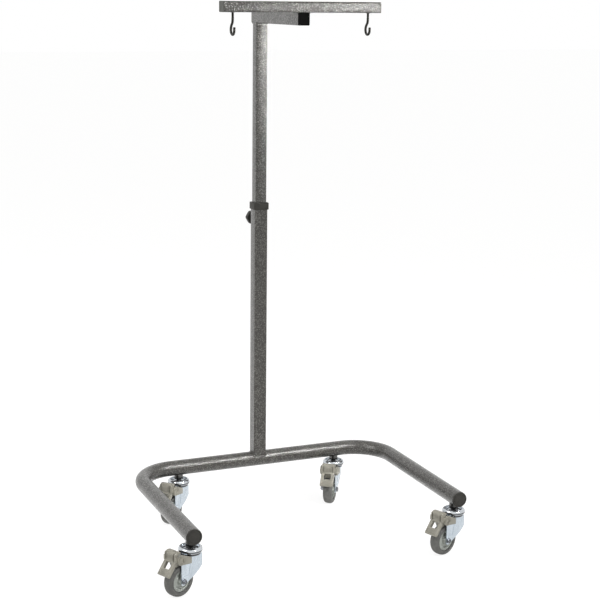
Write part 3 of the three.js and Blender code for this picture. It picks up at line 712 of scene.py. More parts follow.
squarePlugs = {
    # node: name, outward axis, outward sign, finish, slot
    "arm_plug_front": ("armPlugFront", 1, -1, "blackPlastic", "dark_plastic"),
    "arm_plug_rear": ("armPlugRear", 1, 1, "blackPlastic", "dark_plastic"),
    "crossbar_plug_left": ("crossbarPlugLeft", 0, -1, "plugPlastic", "plug_plastic"),
    "crossbar_plug_right": ("crossbarPlugRight", 0, 1, "plugPlastic", "plug_plastic"),
}
plugShape = {
    "flange": 1.2,
    "corner": 2.8,
    "wall": 2.3,
    "overlap": 0.2,
    "rim": 0.45,
    "dish": 1.2,
    "dishDepth": 0.35,
    "edge": 0.25,
}


def makeSquarePlugs():
    # Each plug is a block that fills the bore, with a thin flange whose face is dished a little
    d = metres(plugShape)
    for node, (name, along, sign, look, slot) in squarePlugs.items():
        low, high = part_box(node)
        inner = Vector(low), Vector(high)
        outer = Vector(low), Vector(high)
        if sign < 0:
            outer[1][along] = low[along] + d.flange
            inner[0][along] = outer[1][along] - d.overlap
        else:
            outer[0][along] = high[along] - d.flange
            inner[1][along] = outer[0][along] + d.overlap
        for other in range(3):
            if other != along:
                inner[0][other] += d.wall
                inner[1][other] -= d.wall
        piece = block(name, *outer)
        startEdit(piece)
        span = d.flange * 0.9
        pick("EDGE", lambda edge: abs((edge.verts[1].co - edge.verts[0].co)[along]) > span)
        bpy.ops.mesh.bevel(offset=d.corner, segments=5, affect="EDGES")
        pick("FACE", lambda face: face.normal[along] * sign > 0.9)
        bpy.ops.mesh.inset(thickness=d.rim, depth=0)
        bpy.ops.mesh.inset(thickness=d.dish, depth=-d.dishDepth)
        endEdit()
        combine(piece, block("plugBody", *inner), "UNION")
        roundEdges(piece, d.edge, 2)
        dress(piece, look, "top_unit", slot, node)


makeLegCaps()
makeSquarePlugs()
print("caps and plugs ready")

guideCollar = {
    "corner": 6,
    "seatGap": 0.3,
    "slideGap": 0.4,
    "past": 5,
    "edge": 1.1,
}


def makeGuideCollar():
    # A block with rounded corners, stepped in at the top, cut out for the two tubes
    d = metres(guideCollar)
    low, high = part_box("upright_collar")
    outerLow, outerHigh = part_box("upright_outer")
    innerLow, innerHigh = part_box("upright_inner")
    piece = block("guideCollar", low, high)
    startEdit(piece)
    tall = (high.z - low.z) * 0.9
    pick("EDGE", lambda edge: abs(edge.verts[1].co.z - edge.verts[0].co.z) > tall)
    bpy.ops.mesh.bevel(offset=d.corner, segments=6, affect="EDGES")
    endEdit()
    pad = Vector((d.seatGap, d.seatGap, 0))
    seatTop = outerHigh.z + d.seatGap
    combine(piece, block("seat", Vector((outerLow.x, outerLow.y, low.z - d.past)) - pad,
                         Vector((outerHigh.x, outerHigh.y, seatTop)) + pad))
    slide = Vector((d.slideGap, d.slideGap, 0))
    combine(piece, block("slide", Vector((innerLow.x, innerLow.y, low.z)) - slide,
                         Vector((innerHigh.x, innerHigh.y, high.z + d.past)) + slide))
    roundEdges(piece, d.edge, 4, 50)
    dress(piece, "darkPlastic", "frame", "dark_plastic", "upright_collar")


starKnob = {
    "radius": 20,
    "waist": 16,
    "hub": 8.5,
    "hubLength": 8,
    "hubEdge": 0.5,
    "hubFlare": 0.6,
    "head": 15,
    "rim": 2.2,
    "dish": 3.2,
    "dishDepth": 1,
    "floor": 2.4,
    "floorDepth": 0.4,
    "back": 5,
}


def makeStarKnob():
    # A twelve sided bar, drawn in at every second corner, then rounded by subdivision
    d = metres(starKnob)
    swell = 1.06  # subdivision draws the outline in by about this much
    low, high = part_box("clamp_knob")
    deselectAll()
    bpy.ops.mesh.primitive_cylinder_add(vertices=12, radius=d.radius * swell, depth=d.head,
                                        location=(0, 0, d.hubLength + d.head / 2))
    piece = added("starKnob")
    startEdit(piece)

    def isWaist(corner):
        step = math.atan2(corner.co.y, corner.co.x) / math.radians(30)
        return round(step) % 2 == 1

    pick("VERT", isWaist)
    spread((d.waist / d.radius, d.waist / d.radius, 1), (0, 0, 0))
    pick("FACE", lambda face: face.normal.z > 0.9)
    bpy.ops.mesh.inset(thickness=d.rim, depth=0)
    bpy.ops.mesh.inset(thickness=d.dish, depth=-d.dishDepth)
    bpy.ops.mesh.inset(thickness=d.floor, depth=-d.floorDepth)
    pick("FACE", lambda face: face.normal.z < -0.9)
    bpy.ops.mesh.inset(thickness=d.rim, depth=0)
    bpy.ops.mesh.inset(thickness=d.back, depth=0)
    endEdit()
    modify(piece, "SUBSURF", levels=3, render_levels=3)
    top = d.hubLength + 2 * mm
    rings = [(d.hub - d.hubEdge, 0), (d.hub, d.hubEdge), (d.hub + d.hubFlare, top)]
    combine(piece, turned("hub", rings, 48), "UNION")
    move(piece, facing(((low.x + high.x) / 2, low.y, (low.z + high.z) / 2), -1))
    dress(piece, "darkPlastic", "clamp", "dark_plastic", "clamp_knob")


clampBoss = {
    "edge": 1,
    "bore": 4.4,
    "mouth": 4.6,
    "mouthDepth": 0.4,
}


def makeClampBoss():
    # A turned ring on the back of the upright, with the screw through it
    d = metres(clampBoss)
    low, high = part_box("clamp_boss")
    radius = (high.z - low.z) / 2
    middle = (low + high) / 2
    length = high.y - low.y
    rings = [(radius, 0), (radius, length - d.edge), (radius - d.edge, length), (d.mouth, length),
             (d.bore, length - d.mouthDepth), (d.bore, 0), (radius, 0)]
    piece = turned("clampBoss", rings, 48, closed=True)
    move(piece, facing((middle.x, low.y, middle.z), -1))
    dress(piece, "hammerPaint", "frame", "frame_paint", "clamp_boss")
    paintNode("clamp_screw", "boltZinc")


makeGuideCollar()
makeStarKnob()
makeClampBoss()
print("collar and clamp ready")

hangHook = {
    "wire": 3,
    "shank": 16.2,
    "setBack": 12,
    "throat": 11.5,
    "drop": 55.2,
    "tip": 6.5,
    "tipRound": 1.6,
    "top": 11.5,
    "threadStart": 0.5,
    "threadDepth": 0.35,
    "threadPitch": 1.5,
    "plain": 4,
    "sleeve": 4.6,
    "sleeveGap": 0.2,
    "flange": 5.5,
    "flangeDepth": 0.8,
    "edge": 0.3,
}


def hookSleeve(name, d):
    # The threaded insert, with its thin flange under the crossbar
    bore = d.wire + d.sleeveGap
    rings = [(bore, d.top), (d.sleeve, d.top), (d.sleeve, 0), (d.flange, 0),
             (d.flange, d.edge - d.flangeDepth), (d.flange - d.edge, -d.flangeDepth),
             (bore + d.edge, -d.flangeDepth), (bore, d.edge), (bore, d.top)]
    return turned(name, rings, 40, closed=True)


def makeHooks():
    # A ring of wire is pulled down the shank, spun through two easy bends and the throat, then up
    d = metres(hangHook)
    pitch = d.threadPitch
    turns = int((d.shank - d.plain) / pitch)
    thin = (d.wire - d.threadDepth) / d.wire
    run = d.drop - d.wire - d.throat - d.shank
    sweep = 2 * math.atan2(d.setBack, run)
    bend = run / (2 * math.sin(sweep))
    degrees = math.degrees(sweep)
    barLow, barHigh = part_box("crossbar")
    for side in ("left", "right"):
        node = "hook_" + side
        low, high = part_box(node)
        start = Vector(((low.x + high.x) / 2, (barLow.y + barHigh.y) / 2, barLow.z))
        deselectAll()
        bpy.ops.mesh.primitive_circle_add(vertices=24, radius=d.wire, fill_type="NGON",
                                          location=start + Vector((0, 0, d.top)))
        piece = added("hook" + side.title())
        startEdit(piece)
        pull((0, 0, -d.top - d.threadStart))
        for i in range(turns):
            # Thread roots and crests as fine rings
            for factor in (thin, 1 / thin):
                pull((0, 0, -pitch / 2))
                spread((factor, factor, 1), start)
        pull((0, 0, d.threadStart + turns * pitch - d.shank))
        end = start + Vector((0, 0, -d.shank))
        turnRound(end + Vector((0, bend, 0)), (1, 0, 0), degrees, 8)
        turnRound(end + Vector((0, d.setBack - bend, -run)), (1, 0, 0), -degrees, 8)
        throat = end + Vector((0, d.setBack - d.throat, -run))
        turnRound(throat, (1, 0, 0), -180, 24)
        # The tip is rounded off in small steps
        pull((0, 0, d.tip - d.tipRound))
        tip = throat + Vector((0, -d.throat, d.tip))
        steps = [(math.sin(math.radians(18 * i)), math.cos(math.radians(18 * i))) for i in range(5)]
        for (riseA, wideA), (riseB, wideB) in zip(steps, steps[1:]):
            pull((0, 0, (riseB - riseA) * d.tipRound))
            spread((wideB / wideA, wideB / wideA, 1), tip)
        weldDoubles()
        endEdit()
        dress(piece, "blackSteel", "top_unit", "dark_steel", node, angle=30)
        ring = hookSleeve("hookSleeve" + side.title(), d)
        move(ring, Matrix.Translation(start))
        dress(ring, "blackSteel", "top_unit", "dark_steel", "hook_insert_" + side)


makeHooks()
print("hooks ready")


# Weld beads

weldBead = {
    "radius": 2.1,
    "step": 0.55,
    "rise": 0.4,
    "lift": 0.15,
    "short": 2,
}


def makeBead(name, points, closed, body):
    # A wire along the seam gets a round section and, where it is open, closed ends
    d = metres(weldBead)
    deselectAll()
    bpy.ops.mesh.primitive_plane_add(size=mm, location=points[0])
    piece = added(name)
    startEdit(piece)
    bpy.ops.mesh.merge(type="CENTER")
    route = points + points[:1] if closed else points
    for here, there in zip(route, route[1:]):
        pull(there - here)
    if closed:
        weldDoubles()
    endEdit()
    choose(piece)
    bpy.ops.object.convert(target="CURVE")
    curve = piece.data
    curve.bevel_depth = d.radius
    curve.bevel_resolution = 3
    curve.use_fill_caps = True
    bpy.ops.object.convert(target="MESH")
    dress(piece, "hammerPaint", body, "frame_paint", angle=80)


def along(start, end):
    count = max(2, round((end - start).length / (weldBead["step"] * mm)))
    return [start.lerp(end, i / count) for i in range(count)]


def loopAlong(stops):
    points = []
    for here, there in zip(stops, stops[1:] + stops[:1]):
        points += along(here, there)
    return points


def makeWelds():
    # Round the foot of the upright, on the round bar
    d = metres(weldBead)
    barLow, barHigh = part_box("base_tube")
    radius = baseBar["tube"] * mm
    level = (barLow.z + barHigh.z) / 2
    centreY = barHigh.y - radius
    low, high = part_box("upright_outer")
    centreX = (low.x + high.x) / 2
    half = (high.x - low.x) / 2 + d.rise
    foot = loopAlong([Vector((centreX + x * half, centreY + y * half, 0))
                      for x, y in ((-1, -1), (1, -1), (1, 1), (-1, 1))])
    for point in foot:
        point.z = level + math.sqrt(max(radius ** 2 - (point.y - centreY) ** 2, 0)) + d.rise
    makeBead("weldFoot", foot, True, "frame")

    # Where the arm sits on the upper tube
    low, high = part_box("upright_inner")
    armLow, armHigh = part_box("arm")
    z = high.z + d.lift
    ring = [Vector((low.x, low.y, z)), Vector((high.x, low.y, z)), Vector((high.x, high.y, z)),
            Vector((low.x, high.y, z))]
    makeBead("weldArm", loopAlong(ring), True, "top_unit")

    # Where the crossbar sits on the arm
    barLow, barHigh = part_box("crossbar")
    z = armHigh.z + d.lift
    for side, x in (("Left", armLow.x), ("Right", armHigh.x)):
        seam = along(Vector((x, barLow.y + d.short, z)), Vector((x, barHigh.y - mm, z)))
        makeBead("weldCrossbar" + side, seam, False, "top_unit")
    ends = [Vector((x, barHigh.y, z)) for x in (armLow.x + d.short, armHigh.x - d.short)]
    makeBead("weldCrossbarBack", along(*ends), False, "top_unit")

    # Round the clamp boss
    low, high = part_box("clamp_boss")
    middle = (low + high) / 2
    ring = [Vector((middle.x + x, low.y + 0.2 * mm, middle.z + z))
            for x, z in arc((0, 0), (high.z - low.z) / 2, 0, 360, 96)[:-1]]
    makeBead("weldClampBoss", ring, True, "frame")


makeWelds()
print("welds ready")


# Casters: each piece is modelled once about its swivel axis, heading along +X, and copied

swivelJoint = joints["front_left_swivel_turn"]
wheelJoint = joints["front_left_wheel_roll"]
brakeJoint = joints["front_left_brake_tip"]
axleHeight = wheelJoint["pos_m"][2]
pinHeight = brakeJoint["pos_m"][2]
crownHeight = swivelJoint["pos_m"][2]
trail = (Vector(wheelJoint["pos_m"]).to_2d() - Vector(swivelJoint["pos_m"]).to_2d()).length
pinReach = (Vector(brakeJoint["pos_m"]).to_2d() - Vector(swivelJoint["pos_m"]).to_2d()).length


def casterPlace(corner, swivels):
    # The place of a caster, with the heading of its fork where the piece swivels
    at = Vector(joints[corner + "_swivel_turn"]["pos_m"])
    toWheel = Vector(joints[corner + "_wheel_roll"]["pos_m"]) - at
    heading = math.atan2(toWheel.y, toWheel.x) if swivels else 0
    if not swivels and corner.startswith("front"):
        heading = math.pi / 2
    return Matrix.Translation((at.x, at.y, 0)) @ Matrix.Rotation(heading, 4, "Z")


def fitCasters(master, node, body, look, slot, swivels=True, angle=smoothAngle):
    for corner in corners:
        side = "".join(word.title() for word in corner.split("_"))
        piece = copyOf(master, node.replace("_", "") + side, casterPlace(corner, swivels))
        owner = "frame" if body == "frame" else corner + "_" + body
        dress(piece, look, owner, slot, corner + "_" + node, angle=angle)
    bpy.data.objects.remove(master)


race = {
    "radius": 29,
    "height": 13,
    "shoulder": 6,
    "roll": 0.7,
}
# Its section below and inside the shoulder, as radius and height
raceFoot = [
    (4.3, 3), (22.5, 3),  # underside
    (24.6, 0.5), (26, 0.05), (27.3, 0.5), (28.1, 1.5), (28.7, 3.2), (29, 5.2),  # undercut foot
]
raceDish = [
    (21.9, 8), (21.3, 6.7), (19.9, 6.1), (17.5, 6),  # wall of the dish
    (15.7, 7.05), (14.5, 7.5), (13.3, 7.05), (11.9, 6),  # ridge
    (4.3, 6), (4.3, 3),  # bore
]


def makeRaces():
    # A domed race: undercut foot, round shoulder, rolled inner edge and a dish with a ridge
    d = metres(race)
    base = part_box("front_left_swivel_race")[0].z
    inner = d.radius - d.shoulder
    rings = scaled(raceFoot)
    rings += arc((inner, d.height - d.shoulder), d.shoulder, 0, 90, 14)
    rings += arc((inner, d.height - d.roll), d.roll, 120, 180, 3)
    rings += scaled(raceDish)
    master = turned("raceMaster", [(radius, base + height) for radius, height in rings], 96, closed=True)
    fitCasters(master, "swivel_race", "frame", "chromePlate", "chrome", False, 60)


stem = {
    "radius": 11.5,
    "length": 9,
    "cope": 8,
    "copeReach": 30,
    "neck": 6.3,
    "neckEdge": 0.3,
    "edge": 0.8,
}


def makeStems():
    # A wide dark boss coped to the tube, with a narrow neck that stands on the race's plate
    d = metres(stem)
    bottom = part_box("front_left_stem_boss")[0].z
    barLow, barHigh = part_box("base_tube")
    level = (barLow.z + barHigh.z) / 2
    step = barLow.z - d.length
    rings = [(d.neck - d.neckEdge, bottom), (d.neck, bottom + d.neckEdge), (d.neck, step - d.edge),
             (d.neck + d.edge, step), (d.radius - d.edge, step)]
    rings += arc((d.radius - d.edge, step + d.edge), d.edge, -60, 0, 3)
    rings += [(d.radius, level - d.cope)]
    master = turned("stemMaster", rings, 64)
    reach = Vector((d.copeReach, 0, 0))
    middle = Vector((0, 0, level))
    combine(master, rod("cope", baseBar["tube"] * mm, middle - reach, middle + reach, "X", 96))
    fitCasters(master, "stem_boss", "frame", "bossSteel", "dark_steel", False)


forkPress = {
    "crown": 28,
    "sheet": 2.5,
    "inner": 15,
    "round": 3.6,
    "crownFront": 33,
    "apron": 9.5,
    "end": 10,
    "neck": 12,
    "lug": 7.5,
    "lip": 24.5,
    "lipRise": 4.7,
    "lipEdge": 1.2,
    "bolt": 4.3,
    "pin": 3.2,
    "kingHole": 4.4,
    "edge": 0.45,
}
rearCurve = [(0.05, 0.51), (0.5, 0.73)]  # shares of the way from the apron to the axle end


def forkOutline(d, top):
    # The cheek from the side: apron, curved rear edge, round axle end, neck and the lug round the pin
    end = d.end * math.cos(math.pi / 4)
    start = Vector((-d.crown - mm, crownHeight - d.apron))
    stop = Vector((trail - end, axleHeight - end))
    span = stop - start
    handles = [start + Vector((span.x * x, span.y * y)) for x, y in rearCurve]
    points = [(start.x, top)]
    for i in range(17):
        t = i / 16
        spot = ((1 - t) ** 3 * start + 3 * (1 - t) ** 2 * t * handles[0]
                + 3 * (1 - t) * t * t * handles[1] + t ** 3 * stop)
        points.append((spot.x, spot.y))
    points += arc((trail, axleHeight), d.end, -135, -45, 8)[1:]
    points.append((trail + end, pinHeight - d.neck))
    points += arc((pinReach, pinHeight), d.lug, -45, 180, 16)
    points.append((d.crownFront + 2 * mm, top))
    return points


def forkPlan(name, radius, half, low, high, front):
    # The fork from above: flat sides and a round back, as one prism
    turn = math.degrees(math.asin(half / radius))
    outline = [(front, -half), (front, half)] + arc((0, 0), radius, 180 - turn, 180 + turn, 28)
    return outlined(name, outline, low, high, "Z")


def roundTop(piece, level, radius, segments):
    # Rounds the edges at one level, apart from the open front
    startEdit(piece)
    pick("EDGE", lambda edge: all(abs(vert.co.z - level) < 0.01 * mm for vert in edge.verts)
         and not all(vert.co.x > 30 * mm for vert in edge.verts))
    bpy.ops.mesh.bevel(offset=radius, segments=segments, affect="EDGES")
    endEdit()


cheekPanel = {
    "front": 42.5,
    "back": 16,
    "lean": 5,
    "low": 52,
    "high": 79,
    "depth": 0.7,
    "corner": 2.4,
}


def panelCheeks(fork, outside):
    # A shallow pressed panel on each cheek
    d = metres(cheekPanel)
    panel = [(d.back, d.high), (d.back + d.lean, d.low), (d.front, d.low), (d.front, d.high)]
    for side in (-1, 1):
        face = side * outside
        low, high = sorted((face - side * d.depth, face + side * 2 * mm))
        cutter = outlined("panel", panel, low, high)
        startEdit(cutter)
        pick("EDGE", lambda edge: abs(edge.verts[0].co.y - edge.verts[1].co.y) > mm)
        bpy.ops.mesh.bevel(offset=d.corner, segments=5, affect="EDGES")
        endEdit()
        combine(fork, cutter)


def makeForks():
    # Two cheeks and a back wall cut to outline, under a crown with rounded edges and a raised lip
    d = metres(forkPress)
    outside = d.inner + d.sheet
    far = pinReach + d.lug + 5 * mm
    shoulder = crownHeight - d.round - 0.4 * mm
    cheeks = outlined("forkMaster", forkOutline(d, shoulder), -outside, outside)
    combine(cheeks, forkPlan("plan", d.crown, outside, 0, pinHeight + 20 * mm, far), "INTERSECT")
    combine(cheeks, forkPlan("hollow", d.crown - d.sheet, d.inner, -mm, pinHeight + 30 * mm, far + mm))

    crown = forkPlan("crown", d.crown, outside, shoulder - 2 * mm, crownHeight, d.crownFront)
    roundTop(crown, crownHeight, d.round, 6)
    under = crownHeight - d.sheet
    hollow = forkPlan("crownHollow", d.crown - d.sheet, d.inner, shoulder - 6 * mm, under,
                      d.crownFront + mm)
    roundTop(hollow, under, d.round - d.sheet * 0.7, 4)
    combine(crown, hollow)
    combine(cheeks, crown, "UNION")

    lipTop = crownHeight + d.lipRise
    rings = [(d.lip, crownHeight - d.sheet * 0.6)]
    rings += arc((d.lip - d.lipEdge, lipTop - d.lipEdge), d.lipEdge, 0, 90, 5)
    combine(cheeks, turned("lip", rings, 72), "UNION")
    kingHole = rod("kingHole", d.kingHole, (0, 0, crownHeight - 9 * mm), (0, 0, lipTop + mm), "Z", 40)
    combine(cheeks, kingHole)
    for z, reach, radius in ((axleHeight, trail, d.bolt), (pinHeight, pinReach, d.pin)):
        hole = rod("hole", radius, (reach, -outside - mm, z), (reach, outside + mm, z), "Y", 40)
        combine(cheeks, hole)
    panelCheeks(cheeks, outside)
    roundEdges(cheeks, d.edge, 3, 35)
    fitCasters(cheeks, "fork", "swivel", "zincPlate", "zinc", True, 35)


makeRaces()
makeStems()
makeForks()
for corner in corners:
    paintNode(corner + "_king_bolt", "boltZinc")
print("races, stems and forks ready")

tyre = {
    "half": 12.5,
    "shoulder": 8.4,
    "flat": 1.6,
    "tread": 2.2,
}
# One side of the tyre's bore and of the hub, as radius and height
tyreBore = [(27, 10.5), (27.5, 11.9), (28.2, 12.5)]
hubSide = [
    (4.2, 13.8), (8, 13.8), (9.2, 13.2), (9.6, 12),  # boss
    (10.1, 6.6), (11.6, 5.2), (18.6, 4.6), (20.6, 5.6),  # web
    (21.2, 8.4), (21.8, 9.3), (22.6, 9.6),  # step up to the rim
    (23.4, 9.6), (23.8, 8.9), (24.3, 8.9), (24.7, 9.6),  # groove
    (25.9, 9.6), (26.7, 8.8),  # edge
]


def mirroredRings(upper):
    # Rings from the bore outwards on one side, and back on the other
    lower = [(radius, -height) for radius, height in upper]
    return upper + lower[::-1] + upper[:1]


def onAxle(master, side=1):
    # From the Z axis onto the wheel's axis
    return move(master, facing((trail, 0, axleHeight), side))


def makeWheels():
    # A tyre with flat sides and a full round shoulder, on a hub whose sides are alike
    d = metres(tyre)
    radius = axleHeight
    side = radius - d.shoulder
    upper = scaled(tyreBore) + [(side - d.flat, d.half)]
    for i in range(11):
        angle = math.radians(90 * i / 10)
        height = d.half - (d.half - d.tread) * (1 - math.cos(angle)) ** 1.15
        upper.append((side + (radius - side) * math.sin(angle) ** 0.9, height))
    master = turned("tyreMaster", mirroredRings(upper), 96, closed=True)
    fitCasters(onAxle(master), "tyre", "wheel", "tyreRubber", "tyre", True, 50)

    master = turned("hubMaster", mirroredRings(scaled(hubSide)), 96, closed=True)
    fitCasters(onAxle(master), "hub", "wheel", "hubPlastic", "hub_plastic", True, 30)


axleSet = {
    "shank": 4,
    "head": 5.6,
    "headHeight": 5,
    "chamfer": 0.9,
    "ringOut": 4.5,
    "ringIn": 2.9,
    "ringDraft": 0.2,
    "ringDepth": 2.2,
    "washer": 7,
    "washerHeight": 1.4,
    "washerEdge": 0.3,
    "nutHeight": 6,
    "nutGap": 0.15,
    "threadOut": 2,
    "cheek": 17.5,
    "seatGap": 0.3,
}


def hexHead(name, flats, low, high, chamfer):
    # A six sided bar with its corners turned off where it shows
    deselectAll()
    radius = flats / math.cos(math.pi / 6)
    bpy.ops.mesh.primitive_cylinder_add(vertices=6, radius=radius, depth=high - low,
                                        location=(0, 0, (low + high) / 2))
    piece = added(name)
    cone = [(radius + mm, low - mm), (radius + mm, high - chamfer)]
    cone += [(flats - 0.3 * mm, high), (flats - 0.3 * mm, high + mm)]
    return joinFlats(combine(piece, turned("cone", cone, 60), "INTERSECT"))


def makeAxles():
    # The bolt's shank, washer face and ringed head, and a nut on the far side
    d = metres(axleSet)
    seat = d.cheek + d.seatGap
    shankEnd = seat + d.nutHeight + d.threadOut
    bolt = rod("boltMaster", d.shank, (0, 0, -shankEnd), (0, 0, seat + mm), "Z", 40)
    washerTop = seat + d.washerHeight
    rings = [(d.washer - d.washerEdge, seat), (d.washer, seat + d.washerEdge),
             (d.washer, washerTop - d.washerEdge), (d.washer - d.washerEdge, washerTop)]
    combine(bolt, turned("washer", rings, 60), "UNION")
    top = seat + d.headHeight
    head = hexHead("head", d.head, washerTop - 0.2 * mm, top, d.chamfer)
    floor = top - d.ringDepth
    groove = [(d.ringOut, floor), (d.ringOut + d.ringDraft, top + mm),
              (d.ringIn - d.ringDraft, top + mm), (d.ringIn, floor), (d.ringOut, floor)]
    combine(head, turned("groove", groove, 40, closed=True))
    combine(bolt, head, "UNION")
    fitCasters(onAxle(bolt, -1), "axle_bolt", "swivel", "boltZinc", "bolt_zinc", True, 30)

    nut = hexHead("nutMaster", d.head, seat, seat + d.nutHeight, d.chamfer)
    thread = rod("bore", d.shank + d.nutGap, (0, 0, seat - mm), (0, 0, seat + d.nutHeight + mm), "Z", 40)
    combine(nut, thread)
    fitCasters(onAxle(nut), "axle_nut", "swivel", "boltZinc", "bolt_zinc", True, 30)


makeWheels()
makeAxles()
print("wheels and axles ready")

pedal = {
    "earIn": 17.9,
    "ear": 6,
    "earRadius": 12.5,
    "tailReach": 31.5,
    "tailTop": -0.5,
    "tailLow": -15.5,
    "width": 36,
    "skin": 3.5,
    "skirtWall": 3.2,
    "hollow": 13.9,
    "wing": 17.4,
    "wingRise": 16.4,
    "wingDrop": 1.8,
    "roofPeak": 8,
    "roofPeakRise": 20.5,
    "roofBack": -1,
    "roofBackRise": 19,
    "roofSkin": 4,
    "reach": 41,
    "drop": 31.3,
    "bridge": 8.5,
    "bridgeDepth": 8.5,
    "bridgeDrop": 3,
    "bridgeRise": 9.16,
    "window": 19.6,
    "windowNear": 2.6,
    "windowFar": 19.4,
    "windowRim": 1.6,
    "shoe": 20,
    "shoeReach": 40.5,
    "pin": 3,
    "pinHole": 3.4,
    "pinPast": 3.5,
    "pinEdge": 0.4,
    "ringOut": 9.9,
    "ringIn": 8.3,
    "ringDepth": 0.9,
    "dish": 5.4,
    "dishMouth": 6.2,
    "dishDepth": 1.6,
    "edge": 0.9,
    "hollowEdge": 1.2,
    "rimEdge": 0.5,
}
sideRounds = [2.4, 4, 1.4, 0, 0, 0, 1.2, 1.6, 5]  # radii of the pedal's corners, seen from the side
earArc = (-100.8, 108)  # degrees round the pin
shoeArc = (66.6, 79.2)  # degrees round the axle
shoeBack = [(3.6, -3.6), (8.5, 3), (12, -3)]


class Slope:
    # Points on the sloping plate: a way along it from the bend, and a depth into it
    def __init__(self, d):
        self.start = Vector((d.wing, -d.wingDrop))
        span = Vector((d.reach, -d.drop)) - self.start
        self.length = span.length
        self.run = span.normalized()
        self.inward = Vector((self.run.y, -self.run.x))

    def at(self, along, deep):
        point = self.start + self.run * along + self.inward * deep
        return point.x, point.y

    def block(self, name, near, far, face, back, half):
        outline = [self.at(near, face), self.at(near, back), self.at(far, back), self.at(far, face)]
        return outlined(name, outline, -half, half)


def eased(points, radii, steps=5):
    # An outline with some of its corners rounded
    outline = []
    for i, (here, radius) in enumerate(zip(points, radii)):
        here = Vector(here)
        if not radius:
            outline.append(tuple(here))
            continue
        before = (Vector(points[i - 1]) - here).normalized()
        after = (Vector(points[(i + 1) % len(points)]) - here).normalized()
        half = before.angle(after) / 2
        centre = here + (before + after).normalized() * radius / math.sin(half)
        start = here + before * radius / math.tan(half) - centre
        end = here + after * radius / math.tan(half) - centre
        for step in range(steps + 1):
            way = start.lerp(end, step / steps).normalized() * radius
            outline.append(tuple(centre + way))
    return outline


gripRibs = {
    "recess": 14.5,
    "recessNear": 1.6,
    "recessFar": 2.2,
    "recessDepth": 0.6,
    "groove": 11,
    "grooveFloor": 14.4,
    "grooveFoot": -1,
    "panel": 11,
    "panelFoot": 2.8,
    "panelTop": 15.2,
    "panelProud": 0.6,
    "edge": 0.5,
    "ribPitch": 2.6,
    "ribWidth": 1.1,
    "ribRise": 0.5,
    "ribEnd": 0.9,
    "ribEdge": 0.35,
    "toeWide": 0.8,
    "toeTop": 0.5,
    "toeRise": 0.9,
    "toeEnd": 1.5,
}
ribCount = 8
toeShares = (0.62, 0.72, 0.82, 0.91)  # places of the toe ribs, as shares of the slope's length


def addGrip(body, d, slope):
    # Grooves beside a raised ribbed panel on the wing, a recess down the slope and toe ribs at its foot
    r = metres(gripRibs)
    recess = slope.block("recess", r.recessNear, slope.length - r.recessFar, -3 * mm, r.recessDepth,
                         r.recess)
    combine(body, roundEdges(recess, r.edge, 2, 40))
    face = d.wing
    for side in (-1, 1):
        low, high = sorted((side * r.groove, side * r.recess))
        groove = block("groove", (r.grooveFloor, low, r.grooveFoot), (face + 3 * mm, high, 26 * mm))
        combine(body, roundEdges(groove, r.edge, 2, 40))
    front = face + r.panelProud
    panel = block("panel", (face - 2 * mm, -r.panel, r.panelFoot), (front, r.panel, r.panelTop))
    combine(body, roundEdges(panel, r.edge, 3, 40), "UNION")
    for i in range(ribCount):
        y = (i - (ribCount - 1) / 2) * r.ribPitch
        rib = block("rib", (face - mm, y - r.ribWidth / 2, r.panelFoot + r.ribEnd),
                    (front + r.ribRise, y + r.ribWidth / 2, r.panelTop - r.ribEnd))
        combine(body, roundEdges(rib, r.ribEdge, 2), "UNION")
    crest = r.recessDepth - r.toeRise
    half = r.recess - r.toeEnd
    for share in toeShares:
        middle = slope.length * share
        outline = [slope.at(middle - r.toeWide, mm), slope.at(middle + r.toeWide, mm),
                   slope.at(middle + r.toeTop, crest), slope.at(middle - r.toeTop, crest)]
        combine(body, outlined("toeRib", outline, -half, half), "UNION")


def pedalSide(d, slope):
    # The roof over the pin, the upright wing and the sloping plate, seen from the side
    skirt = d.wing - d.bridge
    back = math.tan(math.atan2(d.reach - d.wing, d.drop - d.wingDrop) / 2)
    points = [(d.wing, d.wingRise), (d.roofPeak, d.roofPeakRise), (d.roofBack, d.roofBackRise),
              (d.roofBack, d.roofBackRise - d.roofSkin), (d.bridge, d.bridgeRise),
              slope.at(-skirt * back, skirt), slope.at(slope.length, skirt), slope.at(slope.length, 0),
              slope.at(0, 0)]
    return eased(points, [radius * mm for radius in sideRounds])


def pedalEar(d, side):
    # A flat ear with a tail, and a groove, a raised ring and a dish round its pin
    outline = [(-d.tailReach, d.tailTop), (-d.tailReach, d.tailLow)]
    outline += arc((0, 0), d.earRadius, *earArc, 28)
    low, high = sorted((side * d.earIn, side * (d.earIn + d.ear)))
    ear = outlined("ear", outline, low, high)
    roundEdges(ear, d.edge, 4, 40)
    outer = d.earIn + d.ear
    floor = outer - d.ringDepth
    turn = Matrix.Rotation(-side * math.pi / 2, 4, "X")
    rings = [(d.ringOut, floor), (d.ringOut, outer + mm), (d.ringIn, outer + mm), (d.ringIn, floor),
             (d.ringOut, floor)]
    combine(ear, move(turned("groove", rings, 60, closed=True), turn))
    dish = turned("dish", [(d.dish, outer - d.dishDepth), (d.dishMouth, outer + mm)], 60)
    return combine(ear, move(dish, turn))


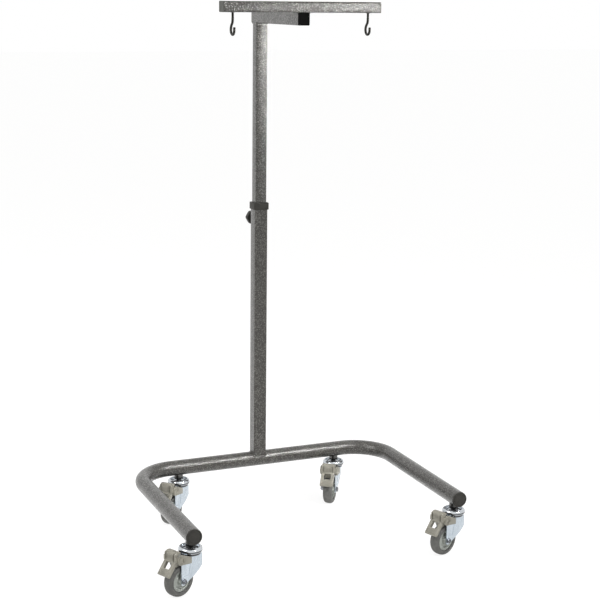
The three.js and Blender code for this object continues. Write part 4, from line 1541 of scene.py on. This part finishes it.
def makePedals():
    # The body is cut hollow from below, then gets its window frame, bridge, grip, ears and brake shoe
    d = metres(pedal)
    slope = Slope(d)
    half = d.width / 2
    body = outlined("pedalMaster", pedalSide(d, slope), -half, half)
    roundEdges(body, d.edge, 3, 60)
    hollow = slope.block("hollow", 0, slope.length - d.skin, d.skin, d.hollow, half - d.skirtWall)
    combine(body, roundEdges(hollow, d.hollowEdge, 3, 40))
    skirt = d.wing - d.bridge
    rim = slope.block("windowRim", d.windowNear - d.windowRim, d.windowFar + d.windowRim, 0.5 * mm, skirt,
                      d.window / 2 + d.windowRim)
    combine(body, roundEdges(rim, d.rimEdge, 2, 40), "UNION")
    earsOut = d.earIn + d.ear / 2
    bridge = block("bridge", (d.bridge, -earsOut, -d.bridgeDrop),
                   (d.bridge + d.bridgeDepth, earsOut, d.bridgeRise))
    combine(body, bridge, "UNION")
    addGrip(body, d, slope)
    for side in (-1, 1):
        combine(body, pedalEar(d, side), "UNION")
    shoe = arc((trail - pinReach, axleHeight - pinHeight), d.shoeReach, *shoeArc, 6)
    shoe += scaled(shoeBack)
    combine(body, outlined("shoe", shoe, -d.shoe / 2, d.shoe / 2), "UNION")
    window = slope.block("window", d.windowNear, d.windowFar, -5 * mm, d.hollow, d.window / 2)
    combine(body, roundEdges(window, d.hollowEdge, 3, 40))
    holeHalf = d.earIn + d.pinPast + 0.3 * mm
    combine(body, rod("pinHole", d.pinHole, (0, -holeHalf, 0), (0, holeHalf, 0), "Y", 40))
    move(body, Matrix.Translation((pinReach, 0, pinHeight)))
    fitCasters(body, "brake_pedal", "brake", "pedalPlastic", "pedal_plastic", True, 35)

    pinHalf = d.earIn + d.pinPast
    pin = rod("pinMaster", d.pin, (0, -pinHalf, 0), (0, pinHalf, 0), "Y", 40)
    roundEdges(pin, d.pinEdge, 3)
    move(pin, Matrix.Translation((pinReach, 0, pinHeight)))
    fitCasters(pin, "brake_pin", "swivel", "boltZinc", "bolt_zinc", True, 35)


makePedals()
print("brake pedals ready")
